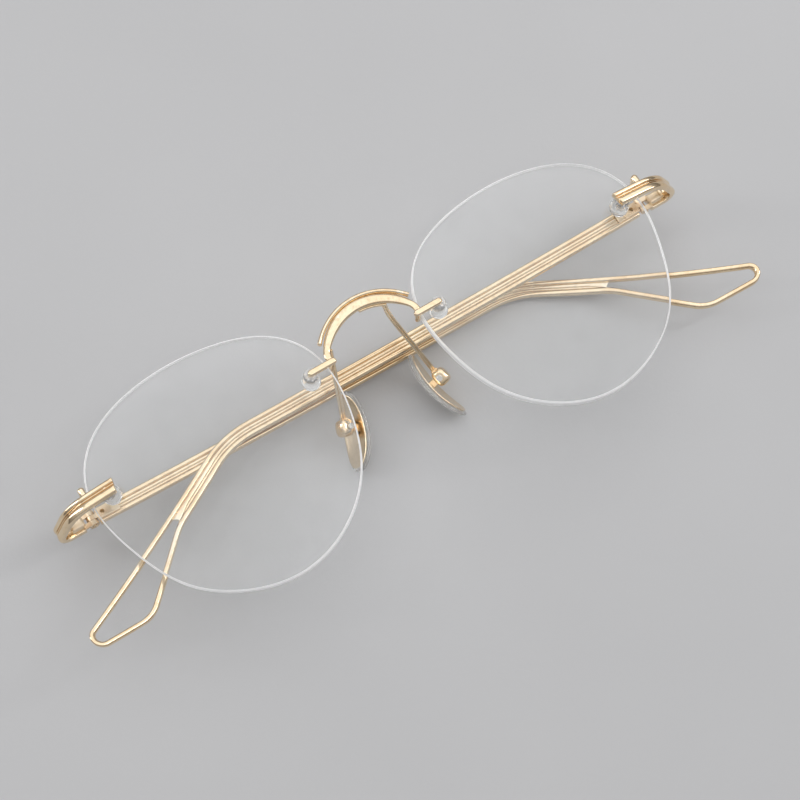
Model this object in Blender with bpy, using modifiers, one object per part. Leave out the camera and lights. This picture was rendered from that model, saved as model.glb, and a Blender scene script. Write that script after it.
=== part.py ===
"""Rimless eyeglasses, lying folded with the front of the lenses up.

The origin is on the table, under the point midway between the lenses. +X is the wearer's left, +Y the
brow side, +Z up, the way the wearer looks. Lengths are metres. Depths are measured from the plane of
the lenses' fronts. Left pieces are modelled; right pieces are their mirror images.
"""

import math

import bmesh
import bpy
from mathutils import Matrix, Vector

MM = 0.001

REST_HEIGHT = 17.1 * MM  # of the lenses' fronts above the table

# Lenses
LENS_CENTRE_X = 33.9 * MM
LENS_MEAN_RADIUS = 23.97 * MM
LENS_HARMONICS = (  # (cosine, sine) share of each harmonic that turns the circle into a crown panto shape
    (0.24 * MM, 1.08 * MM),
    (0.56 * MM, 0.51 * MM),
    (-0.02 * MM, 1.19 * MM),
    (-0.47 * MM, 0.02 * MM),
    (-0.06 * MM, 0.08 * MM),
    (-0.17 * MM, 0.03 * MM),
)
LENS_CURVE_RADIUS = 200.0 * MM
LENS_THICKNESS = 1.7 * MM
LENS_WRAP = math.radians(6.0)
LENS_STEPS = 72

# Lens fixings: a pin in a clear sleeve, held by a clear cap behind the lens
PIN_RADIUS = 0.42 * MM
SLEEVE_BORE_RADIUS = 0.50 * MM
SLEEVE_RADIUS = 0.78 * MM
LENS_HOLE_RADIUS = 0.86 * MM
WASHER_RADIUS = 1.35 * MM
CAP_RADIUS = 1.80 * MM
CAP_HEIGHT = 2.2 * MM
PIN_BEHIND_LENS = 1.5 * MM
FIT_GAP = 0.06 * MM
TEMPORAL_HOLE = (55.0 * MM, 7.9 * MM)
NASAL_HOLE = (13.7 * MM, 6.7 * MM)

# Bridge
BRIDGE_ARC_CENTRE_Y = 2.6 * MM
BRIDGE_ARC_RADIUS = 10.9 * MM
BRIDGE_ARC_HALF_ANGLE = math.radians(54.0)
BRIDGE_SHOULDER_RADIUS = 2.6 * MM
BRIDGE_WIDTH = 2.05 * MM
BRIDGE_THICKNESS = 1.3 * MM
BRIDGE_END_SCALE = 0.62
BRIDGE_Z = 3.1 * MM
BRIDGE_RISE = 0.5 * MM
RIDGE_WIDTH = 0.80 * MM
RIDGE_HALF_ANGLE = math.radians(50.0)

# Lens clips beside the bridge
CLIP_INNER_X = 8.9 * MM
CLIP_Y = 6.7 * MM
CLIP_LENGTH = 5.2 * MM
CLIP_WIDTH = 1.25 * MM
CLIP_THICKNESS = 1.0 * MM
LUG_DEPTH = 3.6 * MM

# Endpieces: a ridged band that runs over the lens edge and curls back to the hinge
PANTOSCOPIC_TILT = math.radians(4.7)
BAND_Y = 7.9 * MM
BAND_START_X = 53.6 * MM
BAND_START_Z = -0.41 * MM
BAND_SHOULDER = (62.65 * MM, -1.68 * MM)
BAND_SHOULDER_RADIUS = 7.0 * MM
BAND_CURL = (67.1 * MM, -10.2 * MM)
BAND_CURL_RADIUS = 1.75 * MM
BAND_END_X = 61.3 * MM
BAND_THICKNESS = 1.3 * MM
BAND_WIDTH = 2.85 * MM
BAND_END_SLANT = 0.2
PRONG_X = 59.12 * MM

# Hinges: measured from the pin's axis, x outwards, y along the axis, z to the front
HINGE_X = 59.6 * MM
HINGE_DEPTH = -9.65 * MM
HINGE_PIN_RADIUS = 0.38 * MM
HINGE_BORE_RADIUS = 0.44 * MM
KNUCKLE_RADIUS = 0.95 * MM
KNUCKLE_INNER_Y = 0.45 * MM
KNUCKLE_GAP = 0.06 * MM
KNUCKLE_OUTER_Y = 1.40 * MM
FOLD_LEFT = math.radians(2.55)
FOLD_RIGHT = math.radians(5.6)

# Temples: s runs back from the hinge pin, y to the brow side, and w is the inward bow
TEMPLE_MID_Z = -0.55 * MM
TEMPLE_START = 1.2 * MM
TEMPLE_RISE = math.radians(0.42)
RAIL_OFFSET = 1.06 * MM
RIM_WIDTH = 1.0 * MM
RIM_THICKNESS = 1.2 * MM
TEMPLE_BEND_RADIUS = 18.4 * MM
TEMPLE_DROP_SLOPE = 0.613
TEMPLE_BEND_S = 90.73 * MM
TIP_CORNER = (135.3 * MM, -26.05 * MM)
TIP_RADIUS = 1.7 * MM
HEEL_CORNER = (118.5 * MM, -23.95 * MM)
HEEL_RADIUS = 6.0 * MM
FORK_CORNER = (106.2 * MM, -10.77 * MM)
FORK_RADIUS = 14.0 * MM
CORE_END_S = 106.6 * MM
CORE_END_SCOOP = 1.0 * MM
CORE_GAP = 0.1 * MM
CORE_THICKNESS = 0.9 * MM
CORE_RIDGE_HEIGHT = 0.2 * MM
CORE_RIDGE_WIDTH = 0.44 * MM
CORE_BEND_S = 84.0 * MM
BOW_AT_BEND = 3.0 * MM
BOW_TIP_START = 85.0 * MM
BOW_TIP_SPAN = 45.0 * MM
BOW_TIP = 7.2 * MM

# Nose pads: measured from the pad screw, x down the pad, z outwards from the nose
PAD_SCREW_LEFT = Vector((9.4, -1.6, -12.2)) * MM
PAD_SCREW_RIGHT = Vector((11.1, -1.25, -11.8)) * MM
PAD_TWIST_LEFT = math.radians(10.0)
PAD_TWIST_RIGHT = math.radians(20.0)
PAD_ROCK_LEFT = math.radians(6.0)
PAD_ROCK_RIGHT = 0.0
PAD_LONG_AXIS = Vector((0.327, -0.93, -0.17))
PAD_NORMAL = Vector((0.905, 0.313, 0.288))
PAD_LENGTH = 15.4 * MM
PAD_WIDTH = 6.8 * MM
PAD_THICKNESS = 0.95 * MM
PAD_CENTRE_X = 0.65 * MM
PAD_SURFACE_Z = -2.4 * MM
PAD_BEND_RADIUS = 20.0 * MM
PAD_SQUARENESS = 2.4
PLATE_SCALE = 0.91
PLATE_THICKNESS = 0.30 * MM
PAD_SCREW_RADIUS = 0.33 * MM
ARM_RADIUS = 0.45 * MM
ARM_START_LEFT = 4.8 * MM
ARM_START_RIGHT = 8.2 * MM

GOLD = (0.83, 0.62, 0.36)
PALE_GOLD = (0.90, 0.76, 0.55)


def clear_scene():
    for item in list(bpy.data.objects):
        bpy.data.objects.remove(item)


def make_material(name, colour, metallic, roughness, alpha=1.0):
    material = bpy.data.materials.new(name)
    material.use_nodes = True
    shader = material.node_tree.nodes["Principled BSDF"]
    shader.inputs["Base Color"].default_value = (*colour, 1.0)
    shader.inputs["Metallic"].default_value = metallic
    shader.inputs["Roughness"].default_value = roughness
    shader.inputs["Alpha"].default_value = alpha
    return material


def make_collection(name, hidden=False):
    collection = bpy.data.collections.new(name)
    collection.hide_render = hidden
    bpy.context.scene.collection.children.link(collection)
    return collection


def make_frame(name, matrix):
    """An empty that places the pieces parented to it."""
    frame = bpy.data.objects.new(name, None)
    frame.empty_display_size = 3 * MM
    frame.matrix_world = Matrix.Translation((0.0, 0.0, REST_HEIGHT)) @ matrix
    PARTS.objects.link(frame)
    return frame


def add_object(name, data, material, frame):
    """An object in the part's collection, placed by its frame."""
    data.materials.clear()
    data.materials.append(material)
    item = bpy.data.objects.new(name, data)
    item.parent = frame
    PARTS.objects.link(item)
    return item


def make_cutter(mesh, frame):
    cutter = bpy.data.objects.new("cutter", mesh)
    cutter.parent = frame
    cutter.hide_render = True
    cutter.display_type = "WIRE"
    CUTTERS.objects.link(cutter)
    return cutter


def add_boolean(item, mesh, operation, frame=None):
    """Cuts, joins or intersects an item with a mesh given in a frame, by default the item's own."""
    modifier = item.modifiers.new(operation.lower(), "BOOLEAN")
    modifier.operation = operation
    modifier.object = make_cutter(mesh, frame or item.parent)


def evaluated_mesh(item):
    """The item's mesh with its modifiers, in its frame, with any loose caps joined up."""
    bpy.context.view_layer.update()
    graph = bpy.context.evaluated_depsgraph_get()
    mesh = bpy.data.meshes.new_from_object(item.evaluated_get(graph))
    mesh.transform(item.matrix_local)
    work = bmesh.new()
    work.from_mesh(mesh)
    bmesh.ops.remove_doubles(work, verts=work.verts, dist=0.0005 * MM)
    work.to_mesh(mesh)
    work.free()
    return mesh


def mirror_twin(item, name, frame):
    """The wearer's right twin of a left piece."""
    mesh = evaluated_mesh(item)
    mesh.transform(Matrix.Scale(-1.0, 4, (1.0, 0.0, 0.0)))
    mesh.flip_normals()
    twin = add_object(name, mesh, item.data.materials[0], frame)
    twin.data.set_sharp_from_angle(angle=math.radians(35.0))
    return twin


def to_mesh_object(item):
    """Replaces a curve by the mesh that it makes, so that modifiers can cut it."""
    mesh = evaluated_mesh(item)
    name = item.name
    frame = item.parent
    material = item.data.materials[0]
    bpy.data.objects.remove(item)
    return add_object(name, mesh, material, frame)


def box_mesh(low, high, bevel=0.0):
    """A box between two corners, with its edges rounded off."""
    work = bmesh.new()
    bmesh.ops.create_cube(work, size=1.0)
    size = Vector(high) - Vector(low)
    middle = (Vector(high) + Vector(low)) / 2
    bmesh.ops.scale(work, vec=size, verts=work.verts)
    bmesh.ops.translate(work, vec=middle, verts=work.verts)
    if bevel:
        bmesh.ops.bevel(work, geom=work.edges[:], offset=bevel, segments=2, profile=0.5, affect="EDGES")
    mesh = bpy.data.meshes.new("box")
    work.to_mesh(mesh)
    work.free()
    return mesh


def rod_mesh(radius, low, high, axis="Z", centre=(0.0, 0.0), steps=20):
    """A round rod from low to high along an axis; centre is in the two other axes' order."""
    work = bmesh.new()
    bmesh.ops.create_cone(
        work, cap_ends=True, segments=steps, radius1=radius, radius2=radius, depth=high - low
    )
    bmesh.ops.translate(work, vec=(0.0, 0.0, (low + high) / 2), verts=work.verts)
    if axis == "Y":
        bmesh.ops.rotate(work, matrix=Matrix.Rotation(math.radians(-90.0), 3, "X"), verts=work.verts)
        bmesh.ops.translate(work, vec=(centre[0], 0.0, centre[1]), verts=work.verts)
    else:
        bmesh.ops.translate(work, vec=(centre[0], centre[1], 0.0), verts=work.verts)
    mesh = bpy.data.meshes.new("rod")
    work.to_mesh(mesh)
    work.free()
    return mesh


def turned_mesh(profile, steps=24):
    """A closed (radius, height) profile, given anticlockwise with the height up, turned about Z."""
    work = bmesh.new()
    start = [work.verts.new((radius, 0.0, height)) for radius, height in profile]
    edges = [work.edges.new((start[i - 1], start[i])) for i in range(len(start))]
    bmesh.ops.spin(
        work, geom=start + edges, axis=(0, 0, 1), cent=(0, 0, 0), angle=2 * math.pi, steps=steps,
        use_merge=True, use_duplicate=False,
    )
    bmesh.ops.remove_doubles(work, verts=work.verts, dist=0.0005 * MM)
    bmesh.ops.recalc_face_normals(work, faces=work.faces)
    mesh = bpy.data.meshes.new("turned")
    work.to_mesh(mesh)
    work.free()
    return mesh


def disc_mesh(rings, steps, place):
    """An open round net; place(share of radius, angle) gives each point."""
    work = bmesh.new()
    start = [work.verts.new((ring / rings, 0.0, 0.0)) for ring in range(rings + 1)]
    edges = [work.edges.new((start[i], start[i + 1])) for i in range(rings)]
    bmesh.ops.spin(
        work, geom=start + edges, axis=(0, 0, 1), cent=(0, 0, 0), angle=2 * math.pi, steps=steps,
        use_merge=True, use_duplicate=False,
    )
    bmesh.ops.remove_doubles(work, verts=work.verts, dist=1e-5)
    for vert in work.verts:
        share = math.hypot(vert.co.x, vert.co.y)
        vert.co = place(share, math.atan2(vert.co.y, vert.co.x))
    bmesh.ops.recalc_face_normals(work, faces=work.faces)
    if sum(face.normal.z for face in work.faces) < 0:
        bmesh.ops.reverse_faces(work, faces=work.faces)
    mesh = bpy.data.meshes.new("disc")
    work.to_mesh(mesh)
    work.free()
    return mesh


def poly_curve(name, points, cyclic=False, dimensions="2D", radii=None):
    curve = bpy.data.curves.new(name, "CURVE")
    curve.dimensions = dimensions
    spline = curve.splines.new("POLY")
    spline.points.add(len(points) - 1)
    for index, point in enumerate(points):
        spline.points[index].co = (*point, *([0.0] * (3 - len(point))), 1.0)
        if radii:
            spline.points[index].radius = radii[index]
    spline.use_cyclic_u = cyclic
    return curve


def swept(name, path, profile, material, frame, radii=None):
    """A flat path swept with a clockwise profile: x to the right of the path, y along local Z."""
    section = bpy.data.objects.new(name + "_section", poly_curve(name + "_section", profile, cyclic=True))
    section.hide_render = True
    section.display_type = "WIRE"
    CUTTERS.objects.link(section)
    curve = poly_curve(name, path, radii=radii)
    curve.bevel_mode = "OBJECT"
    curve.bevel_object = section
    curve.use_fill_caps = True
    return to_mesh_object(add_object(name, curve, material, frame))


def rounded_section(width, thickness, corner):
    """A clockwise rectangle with cut corners."""
    x = width / 2
    y = thickness / 2
    return [
        (-x, -y + corner), (-x, y - corner), (-x + corner, y), (x - corner, y),
        (x, y - corner), (x, -y + corner), (x - corner, -y), (-x + corner, -y),
    ]


def ridges(edges, base, height, points=5):
    """The top of a ridged section, left to right: one round ridge between each pair of edges."""
    outline = []
    for left, right in edges:
        for index in range(points):
            share = index / (points - 1)
            across = left + (right - left) * share
            outline.append((across, base + height * math.sin(math.pi * (0.08 + 0.84 * share))))
    return outline


def arc_points(centre, radius, start, end, steps):
    return [
        (
            centre[0] + radius * math.cos(start + (end - start) * index / steps),
            centre[1] + radius * math.sin(start + (end - start) * index / steps),
        )
        for index in range(steps + 1)
    ]


def filleted(corners, spacing, arc_step=math.radians(9.0)):
    """A path through corners (point, radius), each rounded, with points on its straight runs too."""
    path = [Vector(corners[0][0])]
    for index in range(1, len(corners)):
        corner = Vector(corners[index][0])
        arc = [corner]
        if index < len(corners) - 1:
            before = (Vector(corners[index - 1][0]) - corner).normalized()
            after = (Vector(corners[index + 1][0]) - corner).normalized()
            half = before.angle(after) / 2
            radius = corners[index][1]
            centre = corner + (before + after).normalized() * (radius / math.sin(half))
            first = corner + before * (radius / math.tan(half)) - centre
            turn = -before.angle_signed(after)
            turn = (math.pi - abs(turn)) * (-1 if turn > 0 else 1)
            steps = max(2, round(abs(turn) / arc_step))
            arc = [centre + Matrix.Rotation(turn * step / steps, 2) @ first for step in range(steps + 1)]
        run = arc[0] - path[-1]
        pieces = max(1, round(run.length / spacing))
        last = path[-1]
        path += [last + run * piece / pieces for piece in range(1, pieces)]
        path += arc
    return path


def lens_radius(angle):
    radius = LENS_MEAN_RADIUS
    for order, (cosine, sine) in enumerate(LENS_HARMONICS, start=1):
        radius += cosine * math.cos(order * angle) + sine * math.sin(order * angle)
    return radius


def lens_front_z(x, y):
    return -(x * x + y * y) / (2 * LENS_CURVE_RADIUS)


def lens_frame_matrix():
    return Matrix.Translation((LENS_CENTRE_X, 0.0, 0.0)) @ Matrix.Rotation(LENS_WRAP, 4, "Y")


def hole_matrix(hole):
    """A frame on the front of the left lens, z square to it, at a hole given as world (x, y)."""
    x = (hole[0] - LENS_CENTRE_X) / math.cos(LENS_WRAP)
    y = hole[1]
    normal = Vector((x / LENS_CURVE_RADIUS, y / LENS_CURVE_RADIUS, 1.0))
    turn = normal.to_track_quat("Z", "Y").to_matrix().to_4x4()
    return lens_frame_matrix() @ Matrix.Translation((x, y, lens_front_z(x, y))) @ turn


def endpiece_matrix():
    return Matrix.Translation((0.0, BAND_Y, 0.0)) @ Matrix.Rotation(-PANTOSCOPIC_TILT, 4, "X")


def hinge_matrix(fold):
    """The left hinge's frame: its y is the pin's axis and its -x the way the temple runs."""
    turn = Matrix.Rotation(-fold, 4, "Y")
    return endpiece_matrix() @ Matrix.Translation((HINGE_X, 0.0, HINGE_DEPTH)) @ turn


def pad_matrix(screw, twist, rock):
    long_axis = PAD_LONG_AXIS.normalized()
    across = PAD_NORMAL.cross(long_axis).normalized()
    normal = long_axis.cross(across).normalized()
    turn = Matrix((long_axis, across, normal)).transposed().to_4x4()
    return Matrix.Translation(screw) @ turn @ Matrix.Rotation(twist, 4, "X") @ Matrix.Rotation(rock, 4, "Y")


def mirrored(matrix):
    """The frame for mirrored pieces: theirs are modelled in x turned round, so it stays right-handed."""
    flip = Matrix.Scale(-1.0, 4, (1.0, 0.0, 0.0))
    return flip @ matrix @ flip


def both_frames(name, left, right=None):
    """A left frame, and its mirror image on the right."""
    return (
        make_frame(name + "_left", left),
        make_frame(name + "_right", mirrored(left if right is None else right)),
    )


def build_lenses():
    left, right = FRAMES["lens"]

    def place(share, angle):
        radius = share * lens_radius(angle)
        x = radius * math.cos(angle)
        y = radius * math.sin(angle)
        return Vector((x, y, lens_front_z(x, y)))

    lens = add_object("lens_left", disc_mesh(4, LENS_STEPS, place), LENS, left)
    solid = lens.modifiers.new("thickness", "SOLIDIFY")
    solid.thickness = LENS_THICKNESS
    solid.offset = -1.0
    for key in ("temporal_hole", "nasal_hole"):
        bore = rod_mesh(LENS_HOLE_RADIUS, -3 * LENS_THICKNESS, 2 * LENS_THICKNESS)
        add_boolean(lens, bore, "DIFFERENCE", FRAMES[key][0])
    mirror_twin(lens, "lens_right", right)


def build_lens_fixing(key, label, washer_height):
    """The clear sleeve whose washer spaces the metal from the lens, and the clear cap behind."""
    left, right = FRAMES[key]
    back = -LENS_THICKNESS
    sleeve_profile = [
        (SLEEVE_BORE_RADIUS, back),
        (SLEEVE_RADIUS, back),
        (SLEEVE_RADIUS, FIT_GAP),
        (WASHER_RADIUS, FIT_GAP),
        (WASHER_RADIUS, washer_height * 0.75),
        (WASHER_RADIUS * 0.86, washer_height),
        (SLEEVE_BORE_RADIUS, washer_height),
    ]
    sleeve = add_object(label + "_sleeve_left", turned_mesh(sleeve_profile), CLEAR_PLASTIC, left)
    mirror_twin(sleeve, label + "_sleeve_right", right)
    top = back - FIT_GAP
    blind = back - PIN_BEHIND_LENS - 2 * FIT_GAP
    dome = [
        (CAP_RADIUS * math.cos(angle), top - CAP_HEIGHT * (0.45 + 0.55 * math.sin(angle)))
        for angle in (math.radians(72.0), math.radians(48.0), math.radians(24.0), 0.0)
    ]
    cap_profile = [(0.0, blind), (0.0, top - CAP_HEIGHT)] + dome
    cap_profile += [(CAP_RADIUS, top), (SLEEVE_BORE_RADIUS, top), (SLEEVE_BORE_RADIUS, blind)]
    cap = add_object(label + "_cap_left", turned_mesh(cap_profile), CLEAR_PLASTIC, left)
    mirror_twin(cap, label + "_cap_right", right)


def bridge_z(x):
    """How far the bridge stands forward, most at its middle."""
    return BRIDGE_Z + BRIDGE_RISE * math.cos(min(1.0, abs(x) / CLIP_INNER_X) * math.pi / 2)


def lift_to_bridge(item):
    for vert in item.data.vertices:
        vert.co.z += bridge_z(vert.co.x)


def build_bridge():
    frame = FRAMES["front"]
    half = BRIDGE_ARC_HALF_ANGLE
    centre = (0.0, BRIDGE_ARC_CENTRE_Y)
    shoulder_start = (
        BRIDGE_ARC_RADIUS * math.sin(half),
        BRIDGE_ARC_CENTRE_Y + BRIDGE_ARC_RADIUS * math.cos(half),
    )
    shoulder_centre = (
        shoulder_start[0] - BRIDGE_SHOULDER_RADIUS * math.sin(half),
        shoulder_start[1] - BRIDGE_SHOULDER_RADIUS * math.cos(half),
    )
    shoulder = arc_points(shoulder_centre, BRIDGE_SHOULDER_RADIUS, math.pi / 2 - half, 0.0, 5)
    foot = (shoulder[-1][0], CLIP_Y + CLIP_WIDTH / 2 + FIT_GAP)
    right_end = shoulder[1:] + [foot]
    arch = arc_points(centre, BRIDGE_ARC_RADIUS, math.pi / 2 + half, math.pi / 2 - half, 16)
    left_end = [(-x, y) for x, y in reversed(right_end)]
    path = left_end + arch + right_end
    radii = []
    for x, y in path:
        share = min(1.0, abs(math.atan2(x, y - BRIDGE_ARC_CENTRE_Y)) / half)
        radii.append(1.0 + (BRIDGE_END_SCALE - 1.0) * share ** 3)
    section = rounded_section(BRIDGE_WIDTH, BRIDGE_THICKNESS, 0.34 * MM)
    bridge = swept("bridge", path, section, GOLD_METAL, frame, radii)
    lift_to_bridge(bridge)

    ridge_radius = BRIDGE_ARC_RADIUS + BRIDGE_WIDTH / 2 + FIT_GAP + RIDGE_WIDTH / 2
    start = math.pi / 2 + RIDGE_HALF_ANGLE
    ridge_path = arc_points(centre, ridge_radius, start, math.pi - start, 20)
    ridge_section = rounded_section(RIDGE_WIDTH, BRIDGE_THICKNESS, 0.3 * MM)
    ridge = swept("bridge_ridge_wire", ridge_path, ridge_section, GOLD_METAL, frame)
    lift_to_bridge(ridge)


def build_lens_clips():
    """The bar on the front of each lens beside the bridge, its lug over the edge and its pin."""
    front = FRAMES["front"]
    z = BRIDGE_Z
    low = (CLIP_INNER_X - CLIP_WIDTH / 2, CLIP_Y - CLIP_WIDTH / 2, z - CLIP_THICKNESS / 2)
    high = (CLIP_INNER_X + CLIP_LENGTH, CLIP_Y + CLIP_WIDTH / 2, z + CLIP_THICKNESS / 2)
    clip = add_object("lens_clip_left", box_mesh(low, high, 0.32 * MM), GOLD_METAL, front)
    lug_x = CLIP_INNER_X - 0.3 * MM
    lug = box_mesh(
        (lug_x, CLIP_Y - 0.55 * MM, z - LUG_DEPTH), (lug_x + 1.05 * MM, CLIP_Y + 0.55 * MM, z), 0.15 * MM
    )
    add_boolean(clip, lug, "UNION")
    pin = rod_mesh(PIN_RADIUS, -LENS_THICKNESS - PIN_BEHIND_LENS, z - hole_height("nasal_hole"))
    add_boolean(clip, pin, "UNION", FRAMES["nasal_hole"][0])
    mirror_twin(clip, "lens_clip_right", front)


def hole_height(key):
    return FRAMES[key][0].matrix_world.translation.z - REST_HEIGHT


def band_section():
    """The band's section: flat inside, and outside a narrow brow ridge, a fine groove and a wide ridge."""
    half = BAND_WIDTH / 2
    inner = -BAND_THICKNESS / 2
    outer = BAND_THICKNESS / 2
    rise = 0.42 * MM
    groove = outer - rise
    tops = ridges([(-half, half - 1.16 * MM), (half - 1.02 * MM, half)], groove, rise, 6)
    flat = [(half, groove), (half, inner), (-half, inner), (-half, groove)]
    outline = tops + flat
    return [(height, -across) for across, height in outline]


def build_endpieces():
    left, right = FRAMES["endpiece"]
    corners = [
        ((BAND_START_X, BAND_START_Z), 0.0),
        (BAND_SHOULDER, BAND_SHOULDER_RADIUS),
        (BAND_CURL, BAND_CURL_RADIUS),
        ((BAND_END_X, BAND_CURL[1]), 0.0),
    ]
    path = filleted(corners, 3 * MM)
    band = swept("endpiece_left", path, band_section(), GOLD_METAL, left)
    band.data.transform(Matrix.Rotation(math.radians(90.0), 4, "X"))
    for vert in band.data.vertices:
        if vert.co.x < BAND_START_X + 2 * MM:
            vert.co.x -= vert.co.y * BAND_END_SLANT
    hole = FRAMES["temporal_hole"][0]
    lift = (BAND_START_Z - hole_height("temporal_hole")) / math.cos(LENS_WRAP)
    pin = rod_mesh(PIN_RADIUS, -LENS_THICKNESS - PIN_BEHIND_LENS, lift)
    add_boolean(band, pin, "UNION", hole)
    prong = box_mesh(
        (PRONG_X - 0.66 * MM, BAND_WIDTH / 2 - 0.5 * MM, -5.4 * MM),
        (PRONG_X + 0.66 * MM, BAND_WIDTH / 2 + 1.65 * MM, -0.75 * MM),
        0.45 * MM,
    )
    add_boolean(band, prong, "UNION")
    mirror_twin(band, "endpiece_right", right)


def knuckle(y_low, y_high):
    return rod_mesh(KNUCKLE_RADIUS, y_low, y_high, axis="Y", steps=28)


def build_hinge_front_leaves():
    """The block inside the curl, with the hinge's two outer knuckles and a small tab."""
    left, right = FRAMES["hinge_front"]
    foot = BAND_CURL[1] + BAND_THICKNESS / 2 + FIT_GAP - HINGE_DEPTH
    block = box_mesh((1.5 * MM, -1.0 * MM, foot), (4.25 * MM, 1.0 * MM, 1.85 * MM), 0.42 * MM)
    leaf = add_object("hinge_front_leaf_left", block, SATIN_METAL, left)
    tab = box_mesh((3.8 * MM, -0.5 * MM, foot), (5.0 * MM, 0.5 * MM, foot + 0.4 * MM), 0.1 * MM)
    add_boolean(leaf, tab, "UNION")
    for side in (-1, 1):
        ends = sorted((side * KNUCKLE_INNER_Y + side * KNUCKLE_GAP, side * KNUCKLE_OUTER_Y))
        add_boolean(leaf, knuckle(*ends), "UNION")
        web = box_mesh((0.3 * MM, ends[0], 0.25 * MM), (1.9 * MM, ends[1], 0.85 * MM))
        add_boolean(leaf, web, "UNION")
    bore = rod_mesh(HINGE_BORE_RADIUS, -3 * MM, 3 * MM, axis="Y")
    add_boolean(leaf, bore, "DIFFERENCE")
    mirror_twin(leaf, "hinge_front_leaf_right", right)


def build_hinge_screws():
    left, right = FRAMES["hinge_front"]
    foot = -KNUCKLE_OUTER_Y - 0.1 * MM
    head = KNUCKLE_OUTER_Y + FIT_GAP
    shank = rod_mesh(HINGE_PIN_RADIUS, foot, head + 0.1 * MM, axis="Y")
    screw = add_object("hinge_screw_left", shank, GOLD_METAL, left)
    add_boolean(screw, rod_mesh(0.78 * MM, head, head + 0.45 * MM, axis="Y", steps=24), "UNION")
    slot = box_mesh(
        (-1.0 * MM, head + 0.25 * MM, -0.11 * MM), (1.0 * MM, head + 1.0 * MM, 0.11 * MM)
    )
    add_boolean(screw, slot, "DIFFERENCE")
    mirror_twin(screw, "hinge_screw_right", right)


def build_hinge_temple_leaves():
    """The stepped plate on the temple's inner face, with the middle knuckle and a rivet hole."""
    left, right = FRAMES["hinge_temple"]
    top = TEMPLE_MID_Z + RIM_THICKNESS / 2 + FIT_GAP
    plate = box_mesh((-4.1 * MM, -1.1 * MM, top), (-1.05 * MM, 1.1 * MM, top + 0.75 * MM), 0.12 * MM)
    leaf = add_object("hinge_temple_leaf_left", plate, SATIN_METAL, left)
    step = box_mesh((-5.6 * MM, -1.0 * MM, top), (-3.8 * MM, 1.0 * MM, top + 0.4 * MM), 0.1 * MM)
    add_boolean(leaf, step, "UNION")
    add_boolean(leaf, knuckle(-KNUCKLE_INNER_Y, KNUCKLE_INNER_Y), "UNION")
    neck = box_mesh((-1.5 * MM, -KNUCKLE_INNER_Y, top + 0.1 * MM), (-0.3 * MM, KNUCKLE_INNER_Y, 0.8 * MM))
    add_boolean(leaf, neck, "UNION")
    add_boolean(leaf, rod_mesh(HINGE_BORE_RADIUS, -3 * MM, 3 * MM, axis="Y"), "DIFFERENCE")
    hole = rod_mesh(0.42 * MM, -0.2 * MM, 2 * MM, centre=(-2.4 * MM, 0.0))
    add_boolean(leaf, hole, "DIFFERENCE")
    mirror_twin(leaf, "hinge_temple_leaf_right", right)


def bow(s):
    """How far the temple curves in towards the head, at a distance along it."""
    tip = max(0.0, s - BOW_TIP_START) / BOW_TIP_SPAN
    return BOW_AT_BEND * (s / (90.0 * MM)) ** 2 + BOW_TIP * tip ** 2


def bend_temple(item):
    """Moves a temple piece from the flat (s, y) plane to its place behind the left hinge."""
    item.data.transform(Matrix.Rotation(TEMPLE_RISE, 4, "Z"))
    for vert in item.data.vertices:
        s = vert.co.x
        vert.co = Vector((-s, vert.co.y, TEMPLE_MID_Z + vert.co.z + bow(s)))
    item.data.flip_normals()


def drop_corner(offset):
    """Where a line parallel to the straight temple, offset to the brow side, turns down."""
    bisector = math.atan(TEMPLE_DROP_SLOPE) / 2
    return (TEMPLE_BEND_S + offset * math.tan(bisector), offset)


def rail_edge(rail, s, side):
    """Where the edge of a rail that faces the core lies across the temple, at a distance along it."""
    before, after = next(pair for pair in zip(rail, rail[1:]) if s <= pair[1].x)
    slope = (after.y - before.y) / (after.x - before.x)
    return before.y + slope * (s - before.x) + side * (RIM_WIDTH / 2) * math.hypot(1.0, slope)


def core_mesh(path):
    """The ridged plate that fills the space between the rails and ends in a scoop at the fork."""
    tip = max(range(len(path)), key=lambda index: path[index].x)
    brow_rail = path[:tip + 1]
    chin_rail = [point for point in reversed(path[tip:]) if point.x < HEEL_CORNER[0]]
    base = CORE_THICKNESS / 2 - CORE_RIDGE_HEIGHT
    stations = [TEMPLE_START + (CORE_BEND_S - TEMPLE_START) * step / 30 for step in range(30)]
    stations += [CORE_BEND_S + (CORE_END_S - CORE_BEND_S) * step / 32 for step in range(33)]
    work = bmesh.new()
    rows = []
    for s in stations:
        taper = max(0.0, 1.0 - (CORE_END_S - s) / (4 * CORE_END_SCOOP))
        gap = CORE_GAP * (1.0 + taper)
        low = rail_edge(chin_rail, s, 1) + gap
        high = rail_edge(brow_rail, s, -1) - gap
        first = (low, low + CORE_RIDGE_WIDTH)
        second = (low + CORE_RIDGE_WIDTH + 0.05 * MM, high)
        top = ridges([first, second], base, CORE_RIDGE_HEIGHT, 4)
        row = []
        for y, z in top + [(y, -z) for y, z in reversed(top)]:
            pull = CORE_END_SCOOP * taper * math.sin(math.pi * min(1.0, max(0.0, (y - low) / (high - low))))
            row.append(work.verts.new((s - pull, y, z)))
        rows.append(row)
    for one, two in zip(rows, rows[1:]):
        for index in range(len(one)):
            work.faces.new((two[index - 1], two[index], one[index], one[index - 1]))
    for row, turn in ((rows[0], 1), (rows[-1], -1)):
        for index in range(len(row) // 2 - 1):
            work.faces.new((row[index], row[index + 1], row[-index - 2], row[-index - 1])[::turn])
    bmesh.ops.triangulate(work, faces=work.faces)
    mesh = bpy.data.meshes.new("core")
    work.to_mesh(mesh)
    work.free()
    return mesh


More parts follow.
